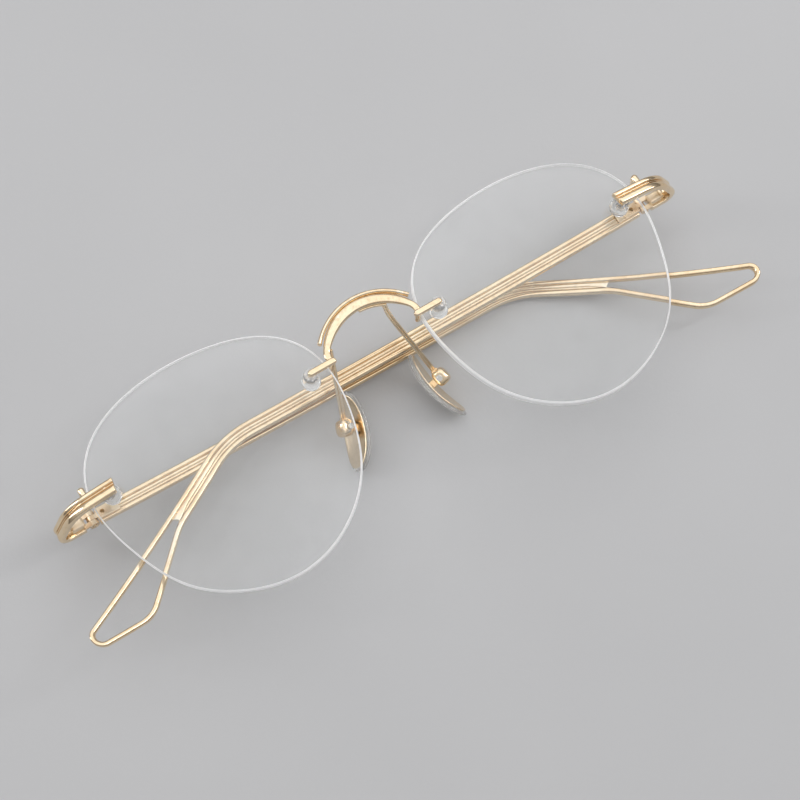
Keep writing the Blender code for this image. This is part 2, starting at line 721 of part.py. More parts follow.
def build_temples():
    left, right = FRAMES["hinge_temple"]
    corners = [
        ((TEMPLE_START, RAIL_OFFSET), 0.0),
        (drop_corner(RAIL_OFFSET), TEMPLE_BEND_RADIUS + RAIL_OFFSET),
        (TIP_CORNER, TIP_RADIUS),
        (HEEL_CORNER, HEEL_RADIUS),
        (FORK_CORNER, FORK_RADIUS),
        (drop_corner(-RAIL_OFFSET), TEMPLE_BEND_RADIUS - RAIL_OFFSET),
        ((TEMPLE_START, -RAIL_OFFSET), 0.0),
    ]
    path = filleted(corners, 6 * MM)
    section = rounded_section(RIM_WIDTH, RIM_THICKNESS, 0.28 * MM)
    rim = swept("temple_rim_left", path, section, GOLD_METAL, left)
    bend_temple(rim)
    mirror_twin(rim, "temple_rim_right", right)

    core = add_object("temple_core_left", core_mesh(path), PALE_METAL, left)
    bend_temple(core)
    mirror_twin(core, "temple_core_right", right)


def pad_outline(share, angle, scale=1.0):
    """A point of the pad's squared oval, from its middle out."""
    cosine = math.cos(angle)
    sine = math.sin(angle)
    power = 2.0 / PAD_SQUARENESS
    x = math.copysign(abs(cosine) ** power, cosine) * PAD_LENGTH / 2 * share * scale
    y = math.copysign(abs(sine) ** power, sine) * PAD_WIDTH / 2 * share * scale
    return x, y


def pad_height(x, y):
    """The pad's outer face, its ends and sides curling away from the nose."""
    return PAD_SURFACE_Z + x * x / (2 * PAD_BEND_RADIUS) + y * y / (3 * PAD_BEND_RADIUS)


def build_pads():
    left, right = FRAMES["pad"]

    def pad_place(share, angle):
        x, y = pad_outline(share, angle)
        return Vector((x + PAD_CENTRE_X, y, pad_height(x, y)))

    pad = add_object("nose_pad_left", disc_mesh(5, 40, pad_place), PAD_PLASTIC, left)
    solid = pad.modifiers.new("thickness", "SOLIDIFY")
    solid.thickness = PAD_THICKNESS
    solid.offset = -1.0
    mirror_twin(pad, "nose_pad_right", right)

    def plate_place(share, angle):
        x, y = pad_outline(share, angle, PLATE_SCALE)
        return Vector((x + PAD_CENTRE_X, y, pad_height(x, y) + PLATE_THICKNESS + FIT_GAP))

    plate = add_object("pad_core_left", disc_mesh(4, 36, plate_place), PALE_METAL, left)
    solid = plate.modifiers.new("thickness", "SOLIDIFY")
    solid.thickness = PLATE_THICKNESS
    solid.offset = -1.0
    foot = PAD_SURFACE_Z + 0.2 * MM
    tab = box_mesh((-0.75 * MM, -0.4 * MM, foot), (0.75 * MM, 0.4 * MM, 0.62 * MM), 0.1 * MM)
    add_boolean(plate, tab, "UNION")
    add_boolean(plate, rod_mesh(0.40 * MM, -2 * MM, 2 * MM, axis="Y"), "DIFFERENCE")
    mirror_twin(plate, "pad_core_right", right)


def build_pad_boxes():
    """The rounded box at the end of each pad arm, slotted for the pad's tab, and its cross screw."""
    left, right = FRAMES["pad"]
    shell = box_mesh((-1.6 * MM, -1.45 * MM, -1.15 * MM), (1.6 * MM, 1.45 * MM, 1.55 * MM), 0.6 * MM)
    holder = add_object("pad_box_left", shell, GOLD_METAL, left)
    slot = box_mesh((-1.15 * MM, -0.5 * MM, -3 * MM), (1.15 * MM, 0.5 * MM, 0.95 * MM))
    add_boolean(holder, slot, "DIFFERENCE")
    add_boolean(holder, rod_mesh(0.39 * MM, -3 * MM, 3 * MM, axis="Y"), "DIFFERENCE")
    mirror_twin(holder, "pad_box_right", right)

    shank = rod_mesh(PAD_SCREW_RADIUS, -1.65 * MM, 1.55 * MM, axis="Y")
    screw = add_object("pad_screw_left", shank, GOLD_METAL, left)
    head = rod_mesh(0.6 * MM, -1.9 * MM, -1.51 * MM, axis="Y", steps=20)
    add_boolean(screw, head, "UNION")
    groove = box_mesh((-1 * MM, -2.2 * MM, -0.1 * MM), (1 * MM, -1.7 * MM, 0.1 * MM))
    add_boolean(screw, groove, "DIFFERENCE")
    mirror_twin(screw, "pad_screw_right", right)


def pad_arm(name, start_x, box_matrix):
    """The wire from under an end of the bridge, past the temple, to the brow end of the pad box."""
    inner_radius = BRIDGE_ARC_RADIUS - BRIDGE_WIDTH / 4
    y = BRIDGE_ARC_CENTRE_Y + math.sqrt(inner_radius ** 2 - start_x ** 2)
    start = Vector((start_x, y, bridge_z(start_x) - BRIDGE_THICKNESS / 2 - 2 * FIT_GAP))
    knee = start + Vector((0.3, -1.4, -3.3)) * MM
    end = box_matrix @ Vector((-1.9 * MM, 0.0, 0.0))
    throat = start.lerp(knee, 0.55)
    bend = knee.lerp(end, 0.16)
    points = [start]
    steps = 6
    for index in range(steps + 1):
        share = index / steps
        points.append(throat.lerp(knee, share).lerp(knee.lerp(bend, share), share))
    points.append(end)
    curve = poly_curve(name, points, dimensions="3D")
    curve.bevel_depth = ARM_RADIUS
    curve.bevel_resolution = 2
    curve.use_fill_caps = True
    return to_mesh_object(add_object(name, curve, GOLD_METAL, FRAMES["front"]))


def build_pad_arms():
    left_box = pad_matrix(PAD_SCREW_LEFT, PAD_TWIST_LEFT, PAD_ROCK_LEFT)
    right_box = pad_matrix(PAD_SCREW_RIGHT, PAD_TWIST_RIGHT, PAD_ROCK_RIGHT)
    pad_arm("pad_arm_left", ARM_START_LEFT, left_box)
    twin = pad_arm("pad_arm_right_pattern", ARM_START_RIGHT, right_box)
    mirror_twin(twin, "pad_arm_right", FRAMES["front"])
    bpy.data.objects.remove(twin)


clear_scene()
PARTS = make_collection("rimless_eyeglasses")
CUTTERS = make_collection("cutters", hidden=True)
GOLD_METAL = make_material("gold_metal", GOLD, 1.0, 0.18)
PALE_METAL = make_material("pale_gold_metal", PALE_GOLD, 1.0, 0.22)
SATIN_METAL = make_material("satin_gold_metal", PALE_GOLD, 1.0, 0.42)
CLEAR_PLASTIC = make_material("clear_plastic", (0.92, 0.92, 0.92), 0.0, 0.12, 0.4)
PAD_PLASTIC = make_material("pad_plastic", (0.80, 0.76, 0.70), 0.0, 0.25, 0.5)
LENS = make_material("lens", (0.94, 0.95, 0.96), 0.0, 0.03, 0.25)

FRAMES = {
    "front": make_frame("front_frame", Matrix.Identity(4)),
    "lens": both_frames("lens_frame", lens_frame_matrix()),
    "temporal_hole": both_frames("temporal_hole_frame", hole_matrix(TEMPORAL_HOLE)),
    "nasal_hole": both_frames("nasal_hole_frame", hole_matrix(NASAL_HOLE)),
    "endpiece": both_frames("endpiece_frame", endpiece_matrix()),
    "hinge_front": both_frames("hinge_front_frame", hinge_matrix(0.0)),
    "hinge_temple": both_frames("hinge_temple_frame", hinge_matrix(FOLD_LEFT), hinge_matrix(FOLD_RIGHT)),
    "pad": both_frames(
        "pad_frame",
        pad_matrix(PAD_SCREW_LEFT, PAD_TWIST_LEFT, PAD_ROCK_LEFT),
        pad_matrix(PAD_SCREW_RIGHT, PAD_TWIST_RIGHT, PAD_ROCK_RIGHT),
    ),
}
bpy.context.view_layer.update()

build_lenses()
build_lens_fixing("temporal_hole", "temporal", 1.75 * MM)
build_lens_fixing("nasal_hole", "nasal", 1.5 * MM)
build_bridge()
build_lens_clips()
build_endpieces()
build_hinge_front_leaves()
build_hinge_screws()
build_hinge_temple_leaves()
build_temples()
build_pad_arms()
build_pad_boxes()
build_pads()
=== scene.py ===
"""The looks of rimless eyeglasses that lie folded, front up, in clear drilled lenses and pale gold wire.

World axes are the part's: +X the wearer's left, +Y the brow side, +Z up, in metres. Shapes are worked out
in the left side's own frames, with depths from the plane of the lenses' fronts; the right side is mirrored.
"""

import math

import bmesh
import bpy
from mathutils import Matrix, Vector
from mathutils.geometry import delaunay_2d_cdt


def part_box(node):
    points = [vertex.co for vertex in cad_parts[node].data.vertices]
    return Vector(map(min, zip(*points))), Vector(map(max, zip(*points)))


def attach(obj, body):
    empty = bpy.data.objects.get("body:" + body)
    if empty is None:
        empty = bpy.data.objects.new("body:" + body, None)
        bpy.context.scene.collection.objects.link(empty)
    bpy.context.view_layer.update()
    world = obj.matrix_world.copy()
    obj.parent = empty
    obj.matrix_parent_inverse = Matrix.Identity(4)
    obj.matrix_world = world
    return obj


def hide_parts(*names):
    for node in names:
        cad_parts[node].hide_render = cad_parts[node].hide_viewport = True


MM = 0.001

REST_HEIGHT = 17.1 * MM
MIRROR_X = Matrix.Scale(-1.0, 4, (1.0, 0.0, 0.0))
IDENTITY = Matrix.Identity(4)
UP = Vector((0.0, 0.0, 1.0))
SIDES = ("left", "right")

# Lenses
LENS_CENTRE_X = 33.9 * MM
LENS_MEAN_RADIUS = 23.97 * MM
LENS_HARMONICS = (
    (0.24 * MM, 1.08 * MM),
    (0.56 * MM, 0.51 * MM),
    (-0.02 * MM, 1.19 * MM),
    (-0.47 * MM, 0.02 * MM),
    (-0.06 * MM, 0.08 * MM),
    (-0.17 * MM, 0.03 * MM),
)
LENS_CURVE_RADIUS = 200.0 * MM
LENS_THICKNESS = 1.7 * MM
LENS_WRAP = math.radians(6.0)
LENS_CHAMFER = 0.28 * MM
LENS_OUTLINE_STEPS = 200
LENS_NET_SPACING = 1.15 * MM
LENS_NET_REACH = 26 * MM
HEXAGON_ROW = 0.866

# Lens fixings
PIN_RADIUS = 0.42 * MM
SLEEVE_BORE_RADIUS = 0.50 * MM
SLEEVE_RADIUS = 0.78 * MM
LENS_HOLE_RADIUS = 0.86 * MM
LENS_HOLE_STEPS = 40
BORE_CHAMFER = 0.07 * MM
WASHER_RADIUS = 1.35 * MM
WASHER_HEIGHT = {"temporal": 1.75 * MM, "nasal": 1.5 * MM}
CAP_RADIUS = 1.80 * MM
CAP_HEIGHT = 2.2 * MM
PIN_BEHIND_LENS = 1.5 * MM
FIT_GAP = 0.06 * MM
TEMPORAL_HOLE = (55.0 * MM, 7.9 * MM)
NASAL_HOLE = (13.7 * MM, 6.7 * MM)
LENS_HOLES = (TEMPORAL_HOLE, NASAL_HOLE)

# Bridge and lens clips
BRIDGE_ARC_CENTRE_Y = 2.6 * MM
BRIDGE_ARC_RADIUS = 10.9 * MM
BRIDGE_ARC_HALF_ANGLE = math.radians(54.0)
BRIDGE_SHOULDER_RADIUS = 2.6 * MM
BRIDGE_WIDTH = 2.05 * MM
BRIDGE_THICKNESS = 1.3 * MM
BRIDGE_END_SCALE = 0.62
BRIDGE_Z = 3.1 * MM
BRIDGE_RISE = 0.5 * MM
BRIDGE_CROWN = 0.30 * MM
RIDGE_WIDTH = 0.80 * MM
RIDGE_CORNER = 0.34 * MM
RIDGE_CROWN = 0.12 * MM
RIDGE_HALF_ANGLE = math.radians(50.0)
CLIP_INNER_X = 8.9 * MM
CLIP_Y = 6.7 * MM
CLIP_LENGTH = 5.2 * MM
CLIP_WIDTH = 1.25 * MM
CLIP_THICKNESS = 1.0 * MM
CLIP_SOFT_EDGE = 0.36 * MM
LUG_DEPTH = 3.6 * MM
LUG_HALF_WIDTH = 0.5 * MM

# Endpieces
PANTOSCOPIC_TILT = math.radians(4.7)
BAND_Y = 7.9 * MM
BAND_START_X = 53.6 * MM
BAND_START_Z = -0.41 * MM
BAND_SHOULDER = (62.65 * MM, -1.68 * MM)
BAND_SHOULDER_RADIUS = 7.0 * MM
BAND_CURL = (67.1 * MM, -10.2 * MM)
BAND_CURL_RADIUS = 1.75 * MM
BAND_END_X = 61.3 * MM
BAND_THICKNESS = 1.3 * MM
BAND_WIDTH = 2.85 * MM
BAND_END_SLANT = 0.2
BAND_RIDGE_HEIGHT = 0.42 * MM
BAND_BEAD_HEIGHT = 0.30 * MM
PRONG_X = 59.12 * MM
PRONG_HALF_WIDTH = 0.66 * MM
PRONG_Z = (-5.4 * MM, -0.75 * MM)

# Hinges and temples
HINGE_X = 59.6 * MM
HINGE_DEPTH = -9.65 * MM
FOLD = {"left": math.radians(2.55), "right": math.radians(5.6)}
TEMPLE_MID_Z = -0.55 * MM
TEMPLE_START = 1.2 * MM
TEMPLE_RISE = math.radians(0.42)
RAIL_OFFSET = 1.06 * MM
RIM_WIDTH = 1.0 * MM
RIM_THICKNESS = 1.2 * MM
TEMPLE_BEND_RADIUS = 18.4 * MM
TEMPLE_DROP_SLOPE = 0.613
TEMPLE_BEND_S = 90.73 * MM
TIP_CORNER = (135.3 * MM, -26.05 * MM)
TIP_RADIUS = 1.7 * MM
HEEL_CORNER = (118.5 * MM, -23.95 * MM)
HEEL_RADIUS = 6.0 * MM
FORK_CORNER = (106.2 * MM, -10.77 * MM)
FORK_RADIUS = 14.0 * MM
WEB_END_S = 106.6 * MM
WEB_SCOOP = 1.0 * MM
CORE_THICKNESS = 0.9 * MM
CORE_RISE = 0.2 * MM
CORE_GAP = 0.015 * MM
CORE_STATIONS = 110
BOW_BEND_S = 90.0 * MM
BOW_AT_BEND = 3.0 * MM
BOW_TIP_START = 85.0 * MM
BOW_TIP_SPAN = 45.0 * MM
BOW_TIP = 7.2 * MM

# Nose pads
PAD_SCREW = {"left": Vector((9.4, -1.6, -12.2)) * MM, "right": Vector((11.1, -1.25, -11.8)) * MM}
PAD_TWIST = {"left": math.radians(10.0), "right": math.radians(20.0)}
PAD_ROCK = {"left": math.radians(6.0), "right": 0.0}
PAD_LONG_AXIS = Vector((0.327, -0.93, -0.17))
PAD_NORMAL = Vector((0.905, 0.313, 0.288))
PAD_LENGTH = 15.4 * MM
PAD_WIDTH = 6.8 * MM
PAD_THICKNESS = 0.95 * MM
PAD_CENTRE_X = 0.65 * MM
PAD_SURFACE_Z = -2.4 * MM
PAD_BEND_RADIUS = 20.0 * MM
PAD_SQUARENESS = 2.4
PAD_SWELL = 0.12 * MM
PLATE_SCALE = 0.91
PLATE_THICKNESS = 0.30 * MM
TAB_HALF_LENGTH = 0.75 * MM
TAB_HALF_WIDTH = 0.4 * MM
TAB_TOP = 0.62 * MM
BOX_HALF_SIZES_IN_MM = (1.62, 1.46, 1.40)
BOX_RAISED_BY = 0.2 * MM
BOX_BORE_RADIUS = 0.39 * MM
BOX_FLAT_RADIUS = 1.15 * MM
BOX_FLAT_Y = 1.40 * MM
ARM_START = {"left": 4.8 * MM, "right": 8.2 * MM}
BRAZE_REACH = {"left": 0.48, "right": 0.0}
ARM_WIRE_RADIUS = 0.25 * MM
ARM_WIRE_OFFSET = 0.26 * MM
ARM_KNEE = Vector((0.3, -1.4, -3.3)) * MM
ARM_END = Vector((-1.62 * MM, 0.0, 0.0))

CAMERA_LOCATION = Vector((-83.06, -118.07, 418.90)) * MM
CAMERA_RIGHT = Vector((0.85115, -0.52436, 0.02440))
CAMERA_UP = Vector((0.48897, 0.80889, 0.32650))
CAMERA_LENS = 106.23

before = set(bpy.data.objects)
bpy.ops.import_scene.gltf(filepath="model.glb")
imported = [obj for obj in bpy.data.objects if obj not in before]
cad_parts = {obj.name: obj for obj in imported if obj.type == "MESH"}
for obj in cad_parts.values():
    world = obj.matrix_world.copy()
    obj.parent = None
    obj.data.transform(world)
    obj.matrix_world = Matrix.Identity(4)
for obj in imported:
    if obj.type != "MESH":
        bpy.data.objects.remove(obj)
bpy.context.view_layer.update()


# ---------------------------------------------------------------- materials


class Nodes:
    """Adds nodes to a material and links them."""

    def __init__(self, material):
        self.tree = material.node_tree
        self.shader = self.tree.nodes["Principled BSDF"]
        self.output = self.tree.nodes["Material Output"]
        self.coordinates = self.add("ShaderNodeTexCoord").outputs["Object"]

    def add(self, kind, **values):
        node = self.tree.nodes.new(kind)
        for key, value in values.items():
            setattr(node, key, value)
        return node

    def link(self, source, target):
        self.tree.links.new(source, target)

    def noise(self, scale, detail=3.0, stretch=(1.0, 1.0, 1.0), roughness=0.55):
        """Noise of so many features to the metre along each of the object's axes."""
        mapping = self.add("ShaderNodeMapping")
        mapping.inputs["Scale"].default_value = [scale * share for share in stretch]
        self.link(self.coordinates, mapping.inputs["Vector"])
        noise = self.add("ShaderNodeTexNoise")
        noise.inputs["Scale"].default_value = 1.0
        noise.inputs["Detail"].default_value = detail
        noise.inputs["Roughness"].default_value = roughness
        self.link(mapping.outputs["Vector"], noise.inputs["Vector"])
        return noise.outputs["Fac"]

    def ranged(self, value, low, high, start=0.3, end=0.7):
        """The value from start to end, spread over low to high."""
        node = self.add("ShaderNodeMapRange")
        node.inputs["From Min"].default_value = start
        node.inputs["From Max"].default_value = end
        node.inputs["To Min"].default_value = low
        node.inputs["To Max"].default_value = high
        self.link(value, node.inputs["Value"])
        return node.outputs["Result"]

    def mixed(self, factor, first, second):
        """A colour between two, each a colour or a socket."""
        node = self.add("ShaderNodeMix", data_type="RGBA")
        self.link(factor, node.inputs["Factor"])
        for name, value in (("A", first), ("B", second)):
            socket = next(s for s in node.inputs if s.name == name and s.type == "RGBA")
            if isinstance(value, tuple):
                socket.default_value = (*value, 1.0)
            else:
                self.link(value, socket)
        return next(s for s in node.outputs if s.type == "RGBA")

    def added(self, first, second):
        node = self.add("ShaderNodeMath", operation="ADD", use_clamp=True)
        self.link(first, node.inputs[0])
        self.link(second, node.inputs[1])
        return node.outputs["Value"]

    def bump(self, heights):
        """Chained bumps: (height socket, depth in metres) pairs, broadest first."""
        normal = None
        for height, depth in heights:
            node = self.add("ShaderNodeBump")
            node.inputs["Distance"].default_value = depth
            self.link(height, node.inputs["Height"])
            if normal:
                self.link(normal, node.inputs["Normal"])
            normal = node.outputs["Normal"]
        self.link(normal, self.shader.inputs["Normal"])

    def edges(self, start, end):
        """How much an edge stands out: 0 on flats and 1 on sharp outer corners."""
        geometry = self.add("ShaderNodeNewGeometry")
        return self.ranged(geometry.outputs["Pointiness"], 0.0, 1.0, start, end)

    def creases(self, start, end):
        """How deep a groove is: 1 where the surface folds inward sharply and 0 on flats."""
        geometry = self.add("ShaderNodeNewGeometry")
        return self.ranged(geometry.outputs["Pointiness"], 1.0, 0.0, start, end)


def new_material(name):
    material = bpy.data.materials.new(name)
    material.use_nodes = True
    return material, Nodes(material)


def metal(name, light, deep, worn, roughness, streak, streak_depth, grain_depth):
    """Plated metal: tone drifts from light to deep, shade painted darker into creases, edges worn paler,
    hairlines along one axis.
    """
    material, nodes = new_material(name)
    drift = nodes.noise(170.0, 3.0)
    cloud = nodes.noise(1100.0, 4.0)
    tone = nodes.mixed(nodes.ranged(drift, 0.0, 1.0, 0.38, 0.64), light, deep)
    darker = tuple(channel * 0.80 for channel in deep)
    tone = nodes.mixed(nodes.ranged(cloud, 0.0, 0.55, 0.52, 0.74), tone, darker)
    # Painted shade: creases and grooves get a darker brown tone that stands in for the shade falling in them.
    painted_crease_shade = tuple(channel * share for channel, share in zip(deep, (0.50, 0.42, 0.34)))
    tone = nodes.mixed(nodes.ranged(nodes.creases(0.40, 0.49), 0.0, 0.85, 0.0, 1.0), tone, painted_crease_shade)
    edge = nodes.edges(0.515, 0.60)
    tone = nodes.mixed(nodes.ranged(edge, 0.0, 0.75, 0.0, 1.0), tone, worn)
    nodes.link(tone, nodes.shader.inputs["Base Color"])
    nodes.shader.inputs["Metallic"].default_value = 1.0
    hairlines = nodes.noise(9000.0, 2.0, streak, 0.7)
    smudge = nodes.noise(420.0, 4.0)
    rough = nodes.ranged(smudge, roughness * 0.75, roughness * 1.4)
    rough = nodes.added(rough, nodes.ranged(hairlines, 0.0, roughness * 0.35, 0.45, 0.8))
    rough = nodes.added(rough, nodes.ranged(edge, 0.0, 0.06, 0.0, 1.0))
    nodes.link(rough, nodes.shader.inputs["Roughness"])
    grain = nodes.noise(14000.0, 2.0)
    nodes.bump([(hairlines, streak_depth), (grain, grain_depth)])
    return material


def clear(name, tint, roughness, ior, shade, haze, depth, milk=0.0):
    """A clear, slightly hazed solid that lets lamps through, a little milky where asked."""
    material, nodes = new_material(name)
    shader = nodes.shader
    cloud = nodes.noise(260.0, 3.0)
    faint = tuple(channel * 0.965 for channel in tint)
    nodes.link(nodes.mixed(nodes.ranged(cloud, 0.0, 1.0), tint, faint), shader.inputs["Base Color"])
    shader.inputs["Transmission Weight"].default_value = 1.0 - milk
    shader.inputs["IOR"].default_value = ior
    smear = nodes.noise(150.0, 4.0, (1.0, 2.4, 1.0))
    edge = nodes.edges(0.53, 0.62)
    rough = nodes.added(
        nodes.ranged(smear, roughness, roughness + haze, 0.45, 0.75), nodes.ranged(edge, 0.0, 0.10, 0.0, 1.0)
    )
    nodes.link(rough, shader.inputs["Roughness"])
    nodes.bump([(nodes.noise(800.0, 2.0), depth), (nodes.noise(6000.0, 2.0), depth * 0.25)])
    light_path = nodes.add("ShaderNodeLightPath")
    through = nodes.add("ShaderNodeBsdfTransparent")
    through.inputs["Color"].default_value = (*(channel * shade for channel in tint), 1.0)
    mix = nodes.add("ShaderNodeMixShader")
    nodes.link(light_path.outputs["Is Shadow Ray"], mix.inputs[0])
    nodes.link(shader.outputs["BSDF"], mix.inputs[1])
    nodes.link(through.outputs["BSDF"], mix.inputs[2])
    nodes.link(mix.outputs["Shader"], nodes.output.inputs["Surface"])
    return material


def frosted_with_painted_glow(name):
    """The ground and half-polished edge of a lens: a painted white glow from a weak emission, and fine
    grinding lines.
    """
    material, nodes = new_material(name)
    shader = nodes.shader
    cloud = nodes.noise(700.0, 3.0)
    colour = nodes.mixed(nodes.ranged(cloud, 0.0, 1.0), (1.0, 1.0, 1.0), (0.93, 0.935, 0.94))
    nodes.link(colour, shader.inputs["Base Color"])
    shader.inputs["IOR"].default_value = 1.56
    shader.inputs["Transmission Weight"].default_value = 0.28
    # Painted glow: a weak white emission makes the edge show as a bright line, though it is no lamp.
    nodes.link(colour, shader.inputs["Emission Color"])
    shader.inputs["Emission Strength"].default_value = 0.14
    lines = nodes.noise(3000.0, 2.0, (1.0, 1.0, 4.0))
    nodes.link(nodes.ranged(lines, 0.28, 0.48), shader.inputs["Roughness"])
    nodes.bump([(lines, 0.000002)])
    return material


def floor_material():
    material, nodes = new_material("pale_floor")
    cloud = nodes.noise(9.0, 3.0)
    fibre = nodes.noise(1400.0, 3.0)
    colour = nodes.mixed(nodes.ranged(cloud, 0.0, 1.0), (0.55, 0.55, 0.555), (0.52, 0.52, 0.525))
    nodes.link(colour, nodes.shader.inputs["Base Color"])
    nodes.link(nodes.ranged(fibre, 0.55, 0.7), nodes.shader.inputs["Roughness"])
    nodes.bump([(fibre, 0.00002)])
    return material


GOLD = metal(
    "polished_pale_gold", (0.95, 0.78, 0.55), (0.88, 0.67, 0.43), (0.99, 0.90, 0.74),
    0.13, (0.12, 1.0, 1.0), 0.0000007, 0.0000004,
)
CORE_GOLD = metal(
    "champagne_core", (0.94, 0.80, 0.60), (0.87, 0.70, 0.49), (0.98, 0.91, 0.77),
    0.17, (0.08, 1.0, 1.0), 0.0000025, 0.0000008,
)
SATIN_GOLD = metal(
    "satin_hinge_gold", (0.92, 0.72, 0.50), (0.84, 0.62, 0.41), (0.97, 0.85, 0.66),
    0.34, (1.0, 0.15, 1.0), 0.0000022, 0.0000030,
)
STEEL = metal(
    "bright_pad_screw", (0.88, 0.86, 0.82), (0.76, 0.73, 0.68), (0.96, 0.95, 0.93),
    0.22, (1.0, 1.0, 0.2), 0.0000015, 0.0000010,
)
LENS = clear("lens", (0.975, 0.98, 0.98), 0.0, 1.56, 0.93, 0.012, 0.0000001)
LENS_EDGE = frosted_with_painted_glow("ground_lens_edge_painted_glow")
CLEAR_PLASTIC = clear("clear_plastic", (0.99, 0.99, 0.985), 0.06, 1.42, 0.88, 0.08, 0.000003, 0.22)
PAD_PLASTIC = clear("pad_silicone", (0.97, 0.96, 0.94), 0.06, 1.40, 0.84, 0.10, 0.000004, 0.16)


# ---------------------------------------------------------------- mesh helpers


def face_outward(work):
    """Turns the faces of each closed body in the mesh outward."""
    bmesh.ops.recalc_face_normals(work, faces=work.faces)
    left = set(work.faces)
    while left:
        body = {left.pop()}
        front = list(body)
        while front:
            beside = {other for edge in front.pop().edges for other in edge.link_faces} & left
            left -= beside
            body |= beside
            front += beside
        volume = sum(
            face.verts[0].co.dot(one.co.cross(two.co))
            for face in body for one, two in zip(face.verts[1:], face.verts[2:])
        )
        if volume < 0.0:
            bmesh.ops.reverse_faces(work, faces=list(body))


def finished_mesh(work, name):
    face_outward(work)
    mesh = bpy.data.meshes.new(name)
    work.to_mesh(mesh)
    work.free()
    return mesh


def new_object(name, data):
    item = bpy.data.objects.new(name, data)
    bpy.context.scene.collection.objects.link(item)
    return item


def bevelled(item, name, width, segments, angle):
    """Adds a modifier that rounds the edges sharper than an angle in degrees."""
    bevel = item.modifiers.new(name, "BEVEL")
    bevel.width = width
    bevel.segments = segments
    bevel.limit_method = "ANGLE"
    bevel.angle_limit = math.radians(angle)
    return bevel


def place(work, node, matrix, side, material, body="front", angle=38.0):
    """Sets a left-frame shape in the world on one side, riding a body, in place of a CAD node."""
    flip = MIRROR_X if side == "right" else IDENTITY
    work.transform(Matrix.Translation((0.0, 0.0, REST_HEIGHT)) @ flip @ matrix)
    mesh = finished_mesh(work, node + ".look")
    mesh.shade_smooth()
    mesh.set_sharp_from_angle(angle=math.radians(angle))
    mesh.materials.append(material)
    item = new_object(mesh.name, mesh)
    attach(item, body)
    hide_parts(node)
    return item


def join_rings(work, one, two, finish=0):
    """Closes the gap between two rings of points; either may be a single point."""
    for k in range(max(len(one), len(two))):
        quad = (one[k - 1], one[k]) if len(one) > 1 else (one[0],)
        quad += (two[k], two[k - 1]) if len(two) > 1 else (two[0],)
        work.faces.new(quad).material_index = finish


def sweep(work, path, up, section_at, bevel):
    """Skins sections along a path, with rounded rims at both ends. Sections are (right, up) outlines."""
    last = len(path) - 1
    first = []
    final = []
    for step in range(4):
        turn = math.radians(90.0 - 30.0 * step)
        back = bevel * (1.0 - math.sin(turn))
        inset = bevel * (1.0 - math.cos(turn))
        first.append((path[0] + (path[1] - path[0]).normalized() * back, 0, inset))
        final.append((path[last] + (path[last - 1] - path[last]).normalized() * back, last, inset))
    between = [(path[index], index, 0.0) for index in range(1, last)]
    rings = []
    for point, index, inset in first + between + final[::-1]:
        tangent = (path[min(index + 1, last)] - path[max(index - 1, 0)]).normalized()
        right = tangent.cross(up).normalized()
        top = right.cross(tangent)
        outline = section_at(index)
        reach = min(max(abs(x) for x, _ in outline), max(abs(y) for _, y in outline))
        scale = max(0.02, 1.0 - inset / reach)
        rings.append([work.verts.new(point + right * x * scale + top * y * scale) for x, y in outline])
    for one, two in zip(rings, rings[1:]):
        join_rings(work, one, two)
    work.faces.new(rings[0])
    work.faces.new(rings[-1][::-1])


def rounded_outline(width, thickness, corner, crown=0.0, steps=5):
    """A rectangle with round corners and a top and bottom that bulge by crown."""
    points = []
    for sign_x, sign_y, start in ((1, 1, 0.0), (-1, 1, 90.0), (-1, -1, 180.0), (1, -1, 270.0)):
        centre_x = sign_x * (width / 2 - corner)
        centre_y = sign_y * (thickness / 2 - corner)
        for step in range(steps + 1):
            angle = math.radians(start + 90.0 * step / steps)
            points.append((centre_x + corner * math.cos(angle), centre_y + corner * math.sin(angle)))
        if start in (0.0, 180.0):
            for share in (0.75, 0.5, 0.25):
                points.append((centre_x * (2 * share - 1), sign_y * thickness / 2))
    return [
        (x, y + math.copysign(crown * (1.0 - (2 * x / width) ** 2), y)) if abs(y) > thickness / 4 else (x, y)
        for x, y in points
    ]


def swell(share, fullness, roundness):
    """The height of a rounded ridge at a share of its width: 0 at its sides and 1 in its middle."""
    return max(0.0, 1.0 - abs(2.0 * share - 1.0) ** fullness) ** roundness


def rounded_box(work, low, high, radius, segments=4, matrix=IDENTITY):
    made = bmesh.ops.create_cube(work, size=1.0)["verts"]
    size = Vector(high) - Vector(low)
    middle = (Vector(high) + Vector(low)) / 2
    for vert in made:
        vert.co = Vector([a * b for a, b in zip(vert.co, size)]) + middle
    edges = list({edge for vert in made for edge in vert.link_edges})
    result = bmesh.ops.bevel(
        work, geom=edges, offset=radius, segments=segments, profile=0.5, affect="EDGES", clamp_overlap=True
    )
    seen = {vert for face in result["faces"] for vert in face.verts}
    bmesh.ops.transform(work, matrix=matrix, verts=list(seen))


def turned(work, profile, matrix=IDENTITY, steps=56):
    """Turns an open (radius, height) profile, whose ends lie on Z or close on themselves, about Z."""
    closed = profile[0][0] > 0.0
    rows = []
    for radius, height in profile:
        if radius < 1e-9:
            rows.append([work.verts.new(matrix @ Vector((0.0, 0.0, height)))])
            continue
        row = []
        for step in range(steps):
            angle = 2 * math.pi * step / steps
            point = Vector((radius * math.cos(angle), radius * math.sin(angle), height))
            row.append(work.verts.new(matrix @ point))
        rows.append(row)
    pairs = list(zip(rows, rows[1:]))
    if closed:
        pairs.append((rows[-1], rows[0]))
    for one, two in pairs:
        join_rings(work, one, two)


